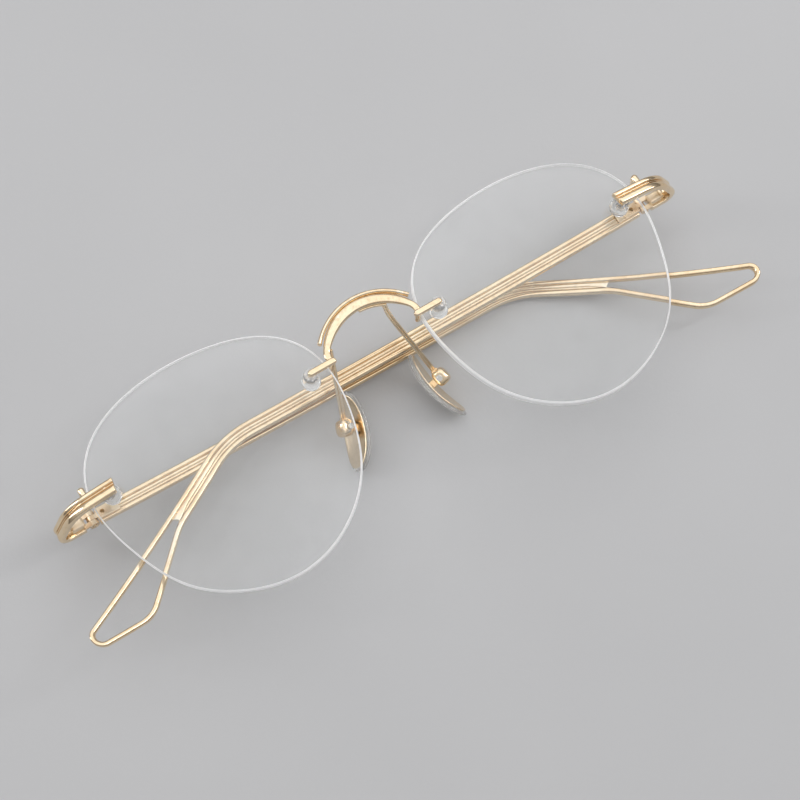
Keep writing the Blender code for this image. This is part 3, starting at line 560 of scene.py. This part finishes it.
def softened(profile, radius, steps=4):
    """A closed profile with each corner rounded."""
    out = []
    for index, corner in enumerate(profile):
        here = Vector(corner)
        before = Vector(profile[index - 1]) - here
        after = Vector(profile[(index + 1) % len(profile)]) - here
        reach = min(radius, before.length * 0.45, after.length * 0.45)
        start = here + before.normalized() * reach
        end = here + after.normalized() * reach
        for step in range(steps + 1):
            share = step / steps
            point = start.lerp(here, share).lerp(here.lerp(end, share), share)
            out.append((point.x, point.y))
    return out


def arc_points(centre, radius, start, end, steps):
    points = []
    for index in range(steps + 1):
        angle = start + (end - start) * index / steps
        points.append(Vector((centre[0] + radius * math.cos(angle), centre[1] + radius * math.sin(angle))))
    return points


def filleted(corners, spacing, arc_step=math.radians(3.0)):
    """A flat path through corners (point, radius), each rounded, evenly stepped on its straight runs."""
    path = [Vector(corners[0][0])]
    for index in range(1, len(corners)):
        corner = Vector(corners[index][0])
        arc = [corner]
        if index < len(corners) - 1:
            before = (Vector(corners[index - 1][0]) - corner).normalized()
            after = (Vector(corners[index + 1][0]) - corner).normalized()
            half = before.angle(after) / 2
            radius = corners[index][1]
            centre = corner + (before + after).normalized() * (radius / math.sin(half))
            first = corner + before * (radius / math.tan(half)) - centre
            turn = -before.angle_signed(after)
            turn = (math.pi - abs(turn)) * (-1 if turn > 0 else 1)
            steps = max(4, round(abs(turn) / arc_step))
            arc = [centre + Matrix.Rotation(turn * step / steps, 2) @ first for step in range(steps + 1)]
        run = arc[0] - path[-1]
        pieces = max(1, round(run.length / spacing))
        last = path[-1]
        path += [last + run * piece / pieces for piece in range(1, pieces)]
        path += arc
    return path


def raised(path):
    return [Vector((point.x, point.y, 0.0)) for point in path]


# ---------------------------------------------------------------- frames of the left side


def lens_radius(angle):
    radius = LENS_MEAN_RADIUS
    for order, (cosine, sine) in enumerate(LENS_HARMONICS, start=1):
        radius += cosine * math.cos(order * angle) + sine * math.sin(order * angle)
    return radius


def lens_front_z(x, y):
    return -(x * x + y * y) / (2 * LENS_CURVE_RADIUS)


def lens_frame_matrix():
    return Matrix.Translation((LENS_CENTRE_X, 0.0, 0.0)) @ Matrix.Rotation(LENS_WRAP, 4, "Y")


def hole_in_lens(hole):
    return (hole[0] - LENS_CENTRE_X) / math.cos(LENS_WRAP), hole[1]


def hole_matrix(hole):
    x, y = hole_in_lens(hole)
    normal = Vector((x / LENS_CURVE_RADIUS, y / LENS_CURVE_RADIUS, 1.0))
    turn = normal.to_track_quat("Z", "Y").to_matrix().to_4x4()
    return lens_frame_matrix() @ Matrix.Translation((x, y, lens_front_z(x, y))) @ turn


def endpiece_matrix():
    return Matrix.Translation((0.0, BAND_Y, 0.0)) @ Matrix.Rotation(-PANTOSCOPIC_TILT, 4, "X")


def temple_matrix(side):
    turn = Matrix.Rotation(-FOLD[side], 4, "Y")
    return endpiece_matrix() @ Matrix.Translation((HINGE_X, 0.0, HINGE_DEPTH)) @ turn


def pad_matrix(side):
    long_axis = PAD_LONG_AXIS.normalized()
    across = PAD_NORMAL.cross(long_axis).normalized()
    normal = long_axis.cross(across).normalized()
    turn = Matrix((long_axis, across, normal)).transposed().to_4x4()
    twist = Matrix.Rotation(PAD_TWIST[side], 4, "X")
    rock = Matrix.Rotation(PAD_ROCK[side], 4, "Y")
    return Matrix.Translation(PAD_SCREW[side]) @ turn @ twist @ rock


# ---------------------------------------------------------------- pieces


def lens_outline(inset):
    points = []
    for step in range(LENS_OUTLINE_STEPS):
        angle = 2 * math.pi * step / LENS_OUTLINE_STEPS
        radius = lens_radius(angle) - inset
        points.append(Vector((radius * math.cos(angle), radius * math.sin(angle))))
    return points


def hole_outline(hole, flare):
    centre = Vector(hole_in_lens(hole))
    points = []
    for step in range(LENS_HOLE_STEPS):
        angle = 2 * math.pi * step / LENS_HOLE_STEPS
        points.append(centre + Vector((math.cos(angle), math.sin(angle))) * (LENS_HOLE_RADIUS + flare))
    return points


def clear_of_holes(point, reach):
    return all((point - Vector(hole_in_lens(hole))).length > reach for hole in LENS_HOLES)


def lens_net():
    """The flat net of a lens face: its points, rims first, and its triangles outside the holes."""
    loops = [lens_outline(LENS_CHAMFER)] + [hole_outline(hole, BORE_CHAMFER) for hole in LENS_HOLES]
    points = []
    edges = []
    for loop in loops:
        start = len(points)
        points += loop
        edges += [(start + k, start + (k + 1) % len(loop)) for k in range(len(loop))]
    count = int(LENS_NET_REACH / LENS_NET_SPACING)
    for i in range(-count, count + 1):
        for j in range(-count, count + 1):
            x = (i + 0.5 * (j % 2)) * LENS_NET_SPACING
            y = j * LENS_NET_SPACING * HEXAGON_ROW
            if math.hypot(x, y) > lens_radius(math.atan2(y, x)) - LENS_CHAMFER - 0.7 * LENS_NET_SPACING:
                continue
            if clear_of_holes(Vector((x, y)), LENS_HOLE_RADIUS + 0.6 * LENS_NET_SPACING):
                points.append(Vector((x, y)))
    flat, _, faces, _, _, _ = delaunay_2d_cdt(points, edges, [], 1, 1e-9)
    hole_reach = (LENS_HOLE_RADIUS + BORE_CHAMFER) * math.cos(math.pi / LENS_HOLE_STEPS)
    kept = []
    for face in faces:
        middle = sum((flat[k] for k in face), Vector((0.0, 0.0))) / len(face)
        if clear_of_holes(middle, hole_reach):
            kept.append(face)
    return flat, kept


def lens_mesh(work):
    """A drilled meniscus, whose rim and bores have polished chamfers."""
    net, faces = lens_net()

    def layer(points, drop):
        return [work.verts.new((p.x, p.y, lens_front_z(p.x, p.y) - drop)) for p in points]

    front = layer(net, 0.0)
    back = layer(net, LENS_THICKNESS)
    for face in faces:
        work.faces.new([front[k] for k in face])
        work.faces.new([back[k] for k in reversed(face)])
    walls = [(lens_outline(0.0), LENS_CHAMFER, 1)]
    walls += [(hole_outline(hole, 0.0), BORE_CHAMFER, 0) for hole in LENS_HOLES]
    start = 0
    for rim, chamfer, finish in walls:
        end = start + len(rim)
        upper = layer(rim, chamfer)
        lower = layer(rim, LENS_THICKNESS - chamfer)
        join_rings(work, front[start:end], upper, finish)
        join_rings(work, upper, lower, finish)
        join_rings(work, lower, back[start:end], finish)
        start = end


def build_lenses():
    for side in SIDES:
        work = bmesh.new()
        lens_mesh(work)
        lens = place(work, "lens_" + side, lens_frame_matrix(), side, LENS, angle=30.0)
        lens.data.materials.append(LENS_EDGE)


def sleeve_profile(washer_height):
    back = -LENS_THICKNESS
    return softened(
        [
            (SLEEVE_BORE_RADIUS, back),
            (SLEEVE_RADIUS, back),
            (SLEEVE_RADIUS, FIT_GAP),
            (WASHER_RADIUS, FIT_GAP),
            (WASHER_RADIUS, washer_height * 0.72),
            (WASHER_RADIUS * 0.84, washer_height),
            (SLEEVE_BORE_RADIUS, washer_height),
        ],
        0.16 * MM,
    )


def cap_profile():
    """A domed cap with a blind bore and a softly rolled foot."""
    top = -LENS_THICKNESS - FIT_GAP
    blind = -LENS_THICKNESS - PIN_BEHIND_LENS - 2 * FIT_GAP
    profile = [(0.0, top - CAP_HEIGHT)]
    for step in range(1, 13):
        angle = math.radians(90.0 - 7.5 * step)
        profile.append((CAP_RADIUS * math.cos(angle), top - CAP_HEIGHT * (0.45 + 0.55 * math.sin(angle))))
    soft = 0.08 * MM
    return profile + [
        (CAP_RADIUS, top - 0.30 * MM),
        (CAP_RADIUS * 0.985, top - 0.14 * MM),
        (CAP_RADIUS * 0.93, top - 0.03 * MM),
        (CAP_RADIUS * 0.86, top),
        (SLEEVE_BORE_RADIUS + soft, top),
        (SLEEVE_BORE_RADIUS, top - soft),
        (SLEEVE_BORE_RADIUS, blind + soft),
        (SLEEVE_BORE_RADIUS - soft, blind),
        (0.0, blind),
    ]


def pin_profile(head):
    """A pin through a lens hole, up to the height of its head, with a tapered foot in the cap."""
    foot = -LENS_THICKNESS - PIN_BEHIND_LENS
    return [
        (0.0, foot),
        (PIN_RADIUS * 0.6, foot),
        (PIN_RADIUS, foot + 0.15 * MM),
        (PIN_RADIUS, head),
        (0.0, head),
    ]


def build_fixings():
    for label, hole in (("temporal", TEMPORAL_HOLE), ("nasal", NASAL_HOLE)):
        profiles = {"sleeve": sleeve_profile(WASHER_HEIGHT[label]), "cap": cap_profile()}
        for side in SIDES:
            for part, profile in profiles.items():
                work = bmesh.new()
                turned(work, profile)
                node = f"{label}_{part}_{side}"
                place(work, node, hole_matrix(hole), side, CLEAR_PLASTIC)


def bridge_z(x):
    return BRIDGE_Z + BRIDGE_RISE * math.cos(min(1.0, abs(x) / CLIP_INNER_X) * math.pi / 2)


def lift_to_bridge(work):
    for vert in work.verts:
        vert.co.z += bridge_z(vert.co.x)


def bridge_path():
    half = BRIDGE_ARC_HALF_ANGLE
    centre = (0.0, BRIDGE_ARC_CENTRE_Y)
    start = Vector((math.sin(half), math.cos(half))) * BRIDGE_ARC_RADIUS + Vector(centre)
    shoulder_centre = start - Vector((math.sin(half), math.cos(half))) * BRIDGE_SHOULDER_RADIUS
    shoulder = arc_points(shoulder_centre, BRIDGE_SHOULDER_RADIUS, math.pi / 2 - half, 0.0, 14)
    foot = Vector((shoulder[-1].x, CLIP_Y + CLIP_WIDTH / 2 - 0.1 * MM))
    right_end = shoulder[1:] + [shoulder[-1].lerp(foot, 0.5), foot]
    arch = arc_points(centre, BRIDGE_ARC_RADIUS, math.pi / 2 + half, math.pi / 2 - half, 64)
    return [Vector((-p.x, p.y)) for p in reversed(right_end)] + arch + right_end


def build_bridge():
    path = bridge_path()
    half = BRIDGE_ARC_HALF_ANGLE
    flat_thickness = BRIDGE_THICKNESS - 2 * BRIDGE_CROWN
    outline = rounded_outline(BRIDGE_WIDTH, flat_thickness, BRIDGE_CROWN, BRIDGE_CROWN, 6)

    def section_at(index):
        point = path[index]
        share = min(1.0, abs(math.atan2(point.x, point.y - BRIDGE_ARC_CENTRE_Y)) / half)
        scale = 1.0 + (BRIDGE_END_SCALE - 1.0) * share ** 3
        return [(x * scale, y * scale) for x, y in outline]

    work = bmesh.new()
    sweep(work, raised(path), UP, section_at, 0.12 * MM)
    lift_to_bridge(work)
    place(work, "bridge", IDENTITY, "left", GOLD)

    ridge_radius = BRIDGE_ARC_RADIUS + BRIDGE_WIDTH / 2 + 0.02 * MM + RIDGE_WIDTH / 2
    start = math.pi / 2 + RIDGE_HALF_ANGLE
    ridge = arc_points((0.0, BRIDGE_ARC_CENTRE_Y), ridge_radius, start, math.pi - start, 72)
    ridge_outline = rounded_outline(
        RIDGE_WIDTH + 0.04 * MM, BRIDGE_THICKNESS - 0.22 * MM, RIDGE_CORNER, RIDGE_CROWN, 6
    )
    work = bmesh.new()
    sweep(work, raised(ridge), UP, lambda index: ridge_outline, 0.14 * MM)
    lift_to_bridge(work)
    place(work, "bridge_ridge_wire", IDENTITY, "left", GOLD)


def capsule(work, low_x, high_x, y, radius, low_z, high_z, soft):
    """A bar with round ends in plan and rounded edges."""
    rows = []
    levels = []
    for step in range(5):
        angle = math.radians(22.5 * step)
        levels.append((low_z + soft * (1.0 - math.sin(angle)), soft * (1.0 - math.cos(angle))))
    levels = levels[::-1]
    levels += [(low_z + high_z - z, inset) for z, inset in reversed(levels)]
    steps = 16
    for z, inset in levels:
        row = []
        for end, start in ((high_x - radius, -90.0), (low_x + radius, 90.0)):
            for step in range(steps + 1):
                angle = math.radians(start + 180.0 * step / steps)
                row.append(work.verts.new((
                    end + (radius - inset) * math.cos(angle), y + (radius - inset) * math.sin(angle), z,
                )))
        rows.append(row)
    for one, two in zip(rows, rows[1:]):
        join_rings(work, one, two)
    work.faces.new(rows[0])
    work.faces.new(rows[-1])


def build_lens_clips():
    hole = hole_matrix(NASAL_HOLE)
    head = (hole.inverted() @ Vector((NASAL_HOLE[0], NASAL_HOLE[1], BRIDGE_Z))).z
    for side in SIDES:
        work = bmesh.new()
        capsule(
            work, CLIP_INNER_X - CLIP_WIDTH / 2, CLIP_INNER_X + CLIP_LENGTH, CLIP_Y, CLIP_WIDTH / 2,
            BRIDGE_Z - CLIP_THICKNESS / 2, BRIDGE_Z + CLIP_THICKNESS / 2, CLIP_SOFT_EDGE,
        )
        capsule(
            work, CLIP_INNER_X - 0.3 * MM, CLIP_INNER_X + 0.75 * MM, CLIP_Y, LUG_HALF_WIDTH,
            BRIDGE_Z - LUG_DEPTH, BRIDGE_Z, 0.2 * MM,
        )
        turned(work, pin_profile(head), hole, 28)
        place(work, "lens_clip_" + side, IDENTITY, side, GOLD)


def band_outline():
    """Flat inside with soft edges; outside a wide round ridge, a fine bead, a groove and a narrow ridge."""
    half = BAND_WIDTH / 2
    inner = -BAND_THICKNESS / 2
    groove = BAND_THICKNESS / 2 - BAND_RIDGE_HEIGHT
    across = []
    runs = (
        (-half, half - 1.42 * MM, BAND_RIDGE_HEIGHT, 16),
        (half - 1.38 * MM, half - 1.14 * MM, BAND_BEAD_HEIGHT, 5),
        (half - 0.98 * MM, half, BAND_RIDGE_HEIGHT, 12),
    )
    for left, right, height, steps in runs:
        for step in range(steps + 1):
            share = step / steps
            across.append((left + (right - left) * share, groove + height * swell(share, 2.6, 1 / 2.2)))
    corner = 0.16 * MM
    cut = 0.05 * MM
    across += [
        (half, inner + corner),
        (half - cut, inner + cut),
        (half - corner, inner),
        (0.0, inner),
        (-half + corner, inner),
        (-half + cut, inner + cut),
        (-half, inner + corner),
    ]
    return [(height, -side) for side, height in across]


def build_endpieces():
    corners = [
        ((BAND_START_X, BAND_START_Z), 0.0),
        (BAND_SHOULDER, BAND_SHOULDER_RADIUS),
        (BAND_CURL, BAND_CURL_RADIUS),
        ((BAND_END_X, BAND_CURL[1]), 0.0),
    ]
    path = [Vector((p.x, 0.0, p.y)) for p in filleted(corners, 0.6 * MM, math.radians(2.5))]
    outline = [(-x, y) for x, y in band_outline()]
    hole = hole_matrix(TEMPORAL_HOLE)
    pin = pin_profile((BAND_START_Z - hole.translation.z) / math.cos(LENS_WRAP))
    to_band = endpiece_matrix().inverted() @ hole
    for side in SIDES:
        work = bmesh.new()
        sweep(work, path, Vector((0.0, -1.0, 0.0)), lambda index: outline, 0.1 * MM)
        for vert in work.verts:
            if vert.co.x < BAND_START_X + 2 * MM:
                vert.co.x -= vert.co.y * BAND_END_SLANT
        turned(work, pin, to_band, 28)
        rounded_box(
            work,
            (PRONG_X - PRONG_HALF_WIDTH, BAND_WIDTH / 2 - 0.5 * MM, PRONG_Z[0]),
            (PRONG_X + PRONG_HALF_WIDTH, BAND_WIDTH / 2 + 1.65 * MM, PRONG_Z[1]),
            0.6 * MM, 6,
        )
        place(work, "endpiece_" + side, endpiece_matrix(), side, GOLD, angle=45.0)


def bow(s):
    tip = max(0.0, s - BOW_TIP_START) / BOW_TIP_SPAN
    return BOW_AT_BEND * (s / BOW_BEND_S) ** 2 + BOW_TIP * tip ** 2


def bend_temple(work):
    """Curves a flat temple shape, s along x, in behind the left hinge."""
    turn = Matrix.Rotation(TEMPLE_RISE, 4, "Z")
    for vert in work.verts:
        point = turn @ vert.co
        vert.co = Vector((-point.x, point.y, TEMPLE_MID_Z + point.z + bow(point.x)))


def drop_corner(offset):
    bisector = math.atan(TEMPLE_DROP_SLOPE) / 2
    return (TEMPLE_BEND_S + offset * math.tan(bisector), offset)


def rail_path():
    corners = [
        ((TEMPLE_START, RAIL_OFFSET), 0.0),
        (drop_corner(RAIL_OFFSET), TEMPLE_BEND_RADIUS + RAIL_OFFSET),
        (TIP_CORNER, TIP_RADIUS),
        (HEEL_CORNER, HEEL_RADIUS),
        (FORK_CORNER, FORK_RADIUS),
        (drop_corner(-RAIL_OFFSET), TEMPLE_BEND_RADIUS - RAIL_OFFSET),
        ((TEMPLE_START, -RAIL_OFFSET), 0.0),
    ]
    return filleted(corners, 1.6 * MM, math.radians(3.0))


def edge_of_rail(points, s, sign):
    """Where the facing edge of a rail lies across the temple at s."""
    one, two = next((one, two) for one, two in zip(points, points[1:]) if s <= two.x)
    slope = (two.y - one.y) / (two.x - one.x)
    return one.y + slope * (s - one.x) + sign * (RIM_WIDTH / 2) * math.hypot(1.0, slope)


def rail_outline():
    """A rail's section: round corners and a crowned front and back."""
    return rounded_outline(RIM_WIDTH - 0.02 * MM, RIM_THICKNESS - 0.26 * MM, 0.28 * MM, 0.13 * MM, 6)


def core_heights(width):
    """(share across, height) of the core's top: a constant ridge beside the chin rail and the rest."""
    base = CORE_THICKNESS / 2 - CORE_RISE
    ridge = 0.45 * MM
    groove = 0.05 * MM
    points = []
    for left, right, steps in ((0.0, ridge, 8), (ridge + groove, width, 10)):
        for step in range(steps + 1):
            share = step / steps
            height = base + CORE_RISE * swell(share, 3.0, 0.6)
            points.append(((left + (right - left) * share) / width, height))
    return points


def core_mesh(work):
    """The ridged plate between the rails, widening to the fork and ending in a scoop."""
    path = rail_path()
    tip = max(range(len(path)), key=lambda k: path[k].x)
    brow = path[:tip + 1]
    chin = path[tip:][::-1]
    while chin[-1].x > HEEL_CORNER[0]:
        chin.pop()
    rows = []
    for station in range(CORE_STATIONS + 1):
        s = TEMPLE_START + (WEB_END_S - TEMPLE_START) * station / CORE_STATIONS
        low = edge_of_rail(chin, s, 1.0) + CORE_GAP
        high = edge_of_rail(brow, s, -1.0) - CORE_GAP
        ramp = max(0.0, 1.0 - (WEB_END_S - s) / (4 * MM))
        ring = []
        heights = core_heights(high - low)
        for sign, shares in ((1.0, heights), (-1.0, heights[::-1])):
            for share, height in shares:
                scoop = WEB_SCOOP * ramp * math.sin(math.pi * share)
                ring.append(work.verts.new((s - scoop, low + (high - low) * share, sign * height)))
        rows.append(ring)
    for one, two in zip(rows, rows[1:]):
        join_rings(work, one, two)
    for ring in (rows[0], rows[-1]):
        half = len(ring) // 2
        for k in range(half - 1):
            work.faces.new((ring[k], ring[k + 1], ring[-k - 2], ring[-k - 1]))


def build_temples():
    for side in SIDES:
        body = "temple_" + side
        work = bmesh.new()
        outline = rail_outline()
        sweep(work, raised(rail_path()), UP, lambda index: outline, 0.2 * MM)
        bend_temple(work)
        place(work, "temple_rim_" + side, temple_matrix(side), side, GOLD, body)
        work = bmesh.new()
        core_mesh(work)
        bend_temple(work)
        place(work, "temple_core_" + side, temple_matrix(side), side, CORE_GOLD, body)


def pad_point(share, angle, scale=1.0):
    cosine = math.cos(angle)
    sine = math.sin(angle)
    power = 2.0 / PAD_SQUARENESS
    x = math.copysign(abs(cosine) ** power, cosine) * PAD_LENGTH / 2 * share * scale
    y = math.copysign(abs(sine) ** power, sine) * PAD_WIDTH / 2 * share * scale
    return x, y


def pad_height(x, y):
    return PAD_SURFACE_Z + x * x / (2 * PAD_BEND_RADIUS) + y * y / (3 * PAD_BEND_RADIUS)


def dished(work, scale, top, thickness, swell, steps=96):
    """A dished oval plate with a rolled rim; swell bulges its nose side."""
    half = thickness / 2
    rim = 1.0 - half / (PAD_WIDTH / 2 * scale)
    shares = [rim * part for part in (0.0, 0.2, 0.4, 0.6, 0.76, 0.89)]
    rings = [(share, half) for share in shares]
    for step in range(9):
        angle = math.radians(90.0 - 22.5 * step)
        rings.append((rim + (1.0 - rim) * math.cos(angle), half * math.sin(angle)))
    rings += [(share, -half) for share in reversed(shares)]
    rows = []
    for share, offset in rings:
        row = []
        for k in range(steps if share else 1):
            x, y = pad_point(share, 2 * math.pi * k / steps, scale)
            bulge = swell * max(0.0, 1.0 - (share / rim) ** 2) if offset < 0 else 0.0
            row.append(work.verts.new((x + PAD_CENTRE_X, y, pad_height(x, y) + top - half + offset - bulge)))
        rows.append(row)
    for one, two in zip(rows, rows[1:]):
        join_rings(work, one, two)


def build_pads():
    for side in SIDES:
        matrix = pad_matrix(side)
        body = "nose_pad_" + side
        work = bmesh.new()
        dished(work, 1.0, 0.0, PAD_THICKNESS, PAD_SWELL)
        place(work, "nose_pad_" + side, matrix, side, PAD_PLASTIC, body)
        work = bmesh.new()
        dished(work, PLATE_SCALE, PLATE_THICKNESS + FIT_GAP, PLATE_THICKNESS, 0.0)
        tab_low = (-TAB_HALF_LENGTH, -TAB_HALF_WIDTH, PAD_SURFACE_Z + 0.2 * MM)
        tab_high = (TAB_HALF_LENGTH, TAB_HALF_WIDTH, TAB_TOP)
        rounded_box(work, tab_low, tab_high, 0.2 * MM)
        place(work, "pad_core_" + side, matrix, side, CORE_GOLD, body)


def applied(item):
    """An item's mesh with its modifiers frozen in."""
    bpy.context.view_layer.update()
    depsgraph = bpy.context.evaluated_depsgraph_get()
    return bpy.data.meshes.new_from_object(item.evaluated_get(depsgraph))


def pad_box_mesh():
    """A domed box, hollowed for the pad's tab, with a flat under the screw's head."""
    work = bmesh.new()
    bmesh.ops.create_cube(work, size=2.0)
    bmesh.ops.subdivide_edges(work, edges=work.edges[:], cuts=11, use_grid_fill=True)
    for vert in work.verts:
        x, y, z = vert.co
        norm = (abs(x) ** 3.2 + abs(y) ** 4.0 + abs(z) ** 3.2) ** (1 / 3.4)
        x, y, z = (value / norm * half * MM for value, half in zip((x, y, z), BOX_HALF_SIZES_IN_MM))
        vert.co = Vector((x, y, z + BOX_RAISED_BY))
    box = new_object("pad_box_form", finished_mesh(work, "pad_box_form"))
    cuts = []
    work = bmesh.new()
    rounded_box(work, (-1.1 * MM, -0.5 * MM, -3 * MM), (1.1 * MM, 0.5 * MM, 0.95 * MM), 0.2 * MM)
    cuts.append(new_object("pad_slot_cut", finished_mesh(work, "pad_slot_cut")))
    turn = Matrix.Rotation(math.radians(90.0), 4, "X")
    for name, radius, start, steps in (
        ("pad_bore_cut", BOX_BORE_RADIUS, -3 * MM, 28),
        ("pad_flat_cut", BOX_FLAT_RADIUS, BOX_FLAT_Y, 48),
    ):
        work = bmesh.new()
        turned(work, [(0.0, start), (radius, start), (radius, 3 * MM), (0.0, 3 * MM)], turn, steps)
        cuts.append(new_object(name, finished_mesh(work, name)))
    for cut in cuts:
        modifier = box.modifiers.new(cut.name, "BOOLEAN")
        modifier.operation = "DIFFERENCE"
        modifier.object = cut
    bevelled(box, "soft_edges", 0.05 * MM, 2, 50.0)
    mesh = applied(box)
    for item in [box] + cuts:
        bpy.data.objects.remove(item)
    return mesh


def build_pad_boxes():
    pattern = pad_box_mesh()
    for side in SIDES:
        work = bmesh.new()
        work.from_mesh(pattern)
        bmesh.ops.remove_doubles(work, verts=work.verts, dist=0.004 * MM)
        bmesh.ops.dissolve_degenerate(work, edges=work.edges, dist=0.002 * MM)
        place(work, "pad_box_" + side, pad_matrix(side), side, GOLD)


def arm_line(side):
    """The middle line of a pad arm: from under the arch, down past the lens edge, to the box."""
    start_x = ARM_START[side]
    inner_radius = BRIDGE_ARC_RADIUS - BRIDGE_WIDTH / 4
    y = BRIDGE_ARC_CENTRE_Y + math.sqrt(inner_radius ** 2 - start_x ** 2)
    start = Vector((start_x, y, bridge_z(start_x) - BRIDGE_THICKNESS / 2 - FIT_GAP))
    knee = start + ARM_KNEE
    end = pad_matrix(side) @ ARM_END
    throat = start.lerp(knee, 0.55)
    bend = knee.lerp(end, 0.16)
    points = [start, start.lerp(throat, 0.5)]
    steps = 14
    for index in range(steps + 1):
        share = index / steps
        points.append(throat.lerp(knee, share).lerp(knee.lerp(bend, share), share))
    points += [bend.lerp(end, step / 12) for step in range(1, 13)]
    return points


def build_pad_arms():
    """Each arm is a doubled wire, closed by a small bar at the box and brazed under the arch."""
    wire = []
    for step in range(12):
        angle = math.radians(30.0 * step)
        wire.append((ARM_WIRE_RADIUS * math.cos(angle), ARM_WIRE_RADIUS * math.sin(angle)))
    bar_half = Vector((0.2, 0.72, 0.3)) * MM
    for side in SIDES:
        line = arm_line(side)
        run = (line[-1] - line[-6]).normalized()
        across = run.cross(UP).normalized()
        turn = Matrix((run, across, run.cross(across))).transposed().to_4x4()
        bar = Matrix.Translation(line[-1] - run * 0.1 * MM) @ turn
        work = bmesh.new()
        for sign in (-1.0, 1.0):
            path = [point + across * (sign * ARM_WIRE_OFFSET) for point in line]
            sweep(work, path, across, lambda index: wire, 0.06 * MM)
        rounded_box(work, -bar_half, bar_half, 0.14 * MM, 4, bar)
        if BRAZE_REACH[side]:
            inner = BRIDGE_ARC_RADIUS - BRIDGE_WIDTH / 2 + 0.2 * MM
            reach = math.pi / 2 - math.asin(ARM_START[side] / (BRIDGE_ARC_RADIUS - BRIDGE_WIDTH / 4))
            braze = arc_points((0.0, BRIDGE_ARC_CENTRE_Y), inner, reach + BRAZE_REACH[side], reach - 0.06, 12)
            foot = [Vector((p.x, p.y, bridge_z(p.x) - BRIDGE_THICKNESS / 2 - 0.1 * MM)) for p in braze]
            outline = rounded_outline(0.85 * MM, 0.55 * MM, 0.24 * MM, 0.0, 4)
            sweep(work, foot, UP, lambda index: outline, 0.2 * MM)
        place(work, "pad_arm_" + side, IDENTITY, side, GOLD)


def dress_cad_nodes():
    """The small turned and milled parts keep their CAD mesh, with broken edges and a finish."""
    finishes = (
        ("hinge_front_leaf", SATIN_GOLD, 0.07 * MM),
        ("hinge_temple_leaf", SATIN_GOLD, 0.05 * MM),
        ("hinge_screw", GOLD, 0.05 * MM),
        ("pad_screw", STEEL, 0.04 * MM),
    )
    for label, material, width in finishes:
        for side in SIDES:
            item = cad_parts[f"{label}_{side}"]
            item.data.materials.clear()
            item.data.materials.append(material)
            weld = item.modifiers.new("weld", "WELD")
            weld.merge_threshold = 0.002 * MM
            bevelled(item, "broken_edges", width, 3, 40.0).harden_normals = True


# ---------------------------------------------------------------- stage


def keep_floor_below_temples(floor):
    """The front stays where it is as the temples open, so the floor sinks to stay under their tips."""
    sink = floor.driver_add("location", 2).driver
    sink.type = "MIN"
    for side in SIDES:
        low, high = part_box("temple_rim_" + side)
        tip = new_object("temple_tip_" + side, None)
        tip.location = (low[0] if side == "left" else high[0], low[1], 0.0)
        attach(tip, "temple_" + side)
        height = sink.variables.new()
        height.name = side
        height.type = "TRANSFORMS"
        target = height.targets[0]
        target.id = tip
        target.transform_type = "LOC_Z"
        target.transform_space = "WORLD_SPACE"


def build_floor():
    work = bmesh.new()
    bmesh.ops.create_grid(work, x_segments=24, y_segments=24, size=2.4)
    floor = new_object("floor", finished_mesh(work, "floor"))
    floor.data.materials.append(floor_material())
    keep_floor_below_temples(floor)


def build_world():
    """A room that is dark below and pale above, with a plain backdrop where the camera sees it."""
    world = bpy.data.worlds.new("studio")
    bpy.context.scene.world = world
    world.use_nodes = True
    nodes = world.node_tree.nodes
    link = world.node_tree.links.new
    background = nodes["Background"]
    coordinates = nodes.new("ShaderNodeTexCoord")
    split = nodes.new("ShaderNodeSeparateXYZ")
    ramp = nodes.new("ShaderNodeValToRGB")
    dark, pale = ramp.color_ramp.elements
    dark.color = (0.12, 0.118, 0.115, 1.0)
    pale.position = 0.8
    pale.color = (0.60, 0.60, 0.61, 1.0)
    link(coordinates.outputs["Generated"], split.inputs[0])
    link(split.outputs["Z"], ramp.inputs["Fac"])
    seen = nodes.new("ShaderNodeLightPath")
    backdrop = nodes.new("ShaderNodeMixRGB")
    backdrop.inputs["Color2"].default_value = (0.40, 0.40, 0.405, 1.0)
    link(seen.outputs["Is Camera Ray"], backdrop.inputs["Fac"])
    link(ramp.outputs["Color"], backdrop.inputs["Color1"])
    link(backdrop.outputs["Color"], background.inputs["Color"])
    bpy.context.scene.view_settings.view_transform = "Standard"


def build_lamps():
    for name, location, size, power in (
        ("ceiling", (0.12, 0.17, 0.55), (0.95, 0.95), 1.85),
        ("strip", (-0.55, 0.35, 0.30), (0.12, 0.6), 1.0),
        ("spark", (0.50, -0.10, 0.45), (0.10, 0.4), 0.7),
    ):
        lamp = bpy.data.lights.new(name, "AREA")
        lamp.shape = "RECTANGLE"
        lamp.size, lamp.size_y = size
        lamp.energy = power
        lamp_object = new_object(name, lamp)
        lamp_object.location = location
        lamp_object.rotation_mode = "QUATERNION"
        lamp_object.rotation_quaternion = (-Vector(location)).to_track_quat("-Z", "Y")


def build_camera():
    camera = bpy.data.cameras.new("camera")
    camera.lens = CAMERA_LENS
    camera.clip_start = 0.02
    camera.clip_end = 20.0
    camera_object = new_object("camera", camera)
    back = CAMERA_RIGHT.cross(CAMERA_UP).normalized()
    up = back.cross(CAMERA_RIGHT).normalized()
    turn = Matrix((CAMERA_RIGHT.normalized(), up, back)).transposed()
    camera_object.matrix_world = Matrix.Translation(CAMERA_LOCATION) @ turn.to_4x4()
    bpy.context.scene.camera = camera_object


build_lenses()
build_fixings()
build_bridge()
build_lens_clips()
build_endpieces()
build_temples()
build_pads()
build_pad_boxes()
build_pad_arms()
dress_cad_nodes()
build_floor()
build_world()
build_lamps()
build_camera()
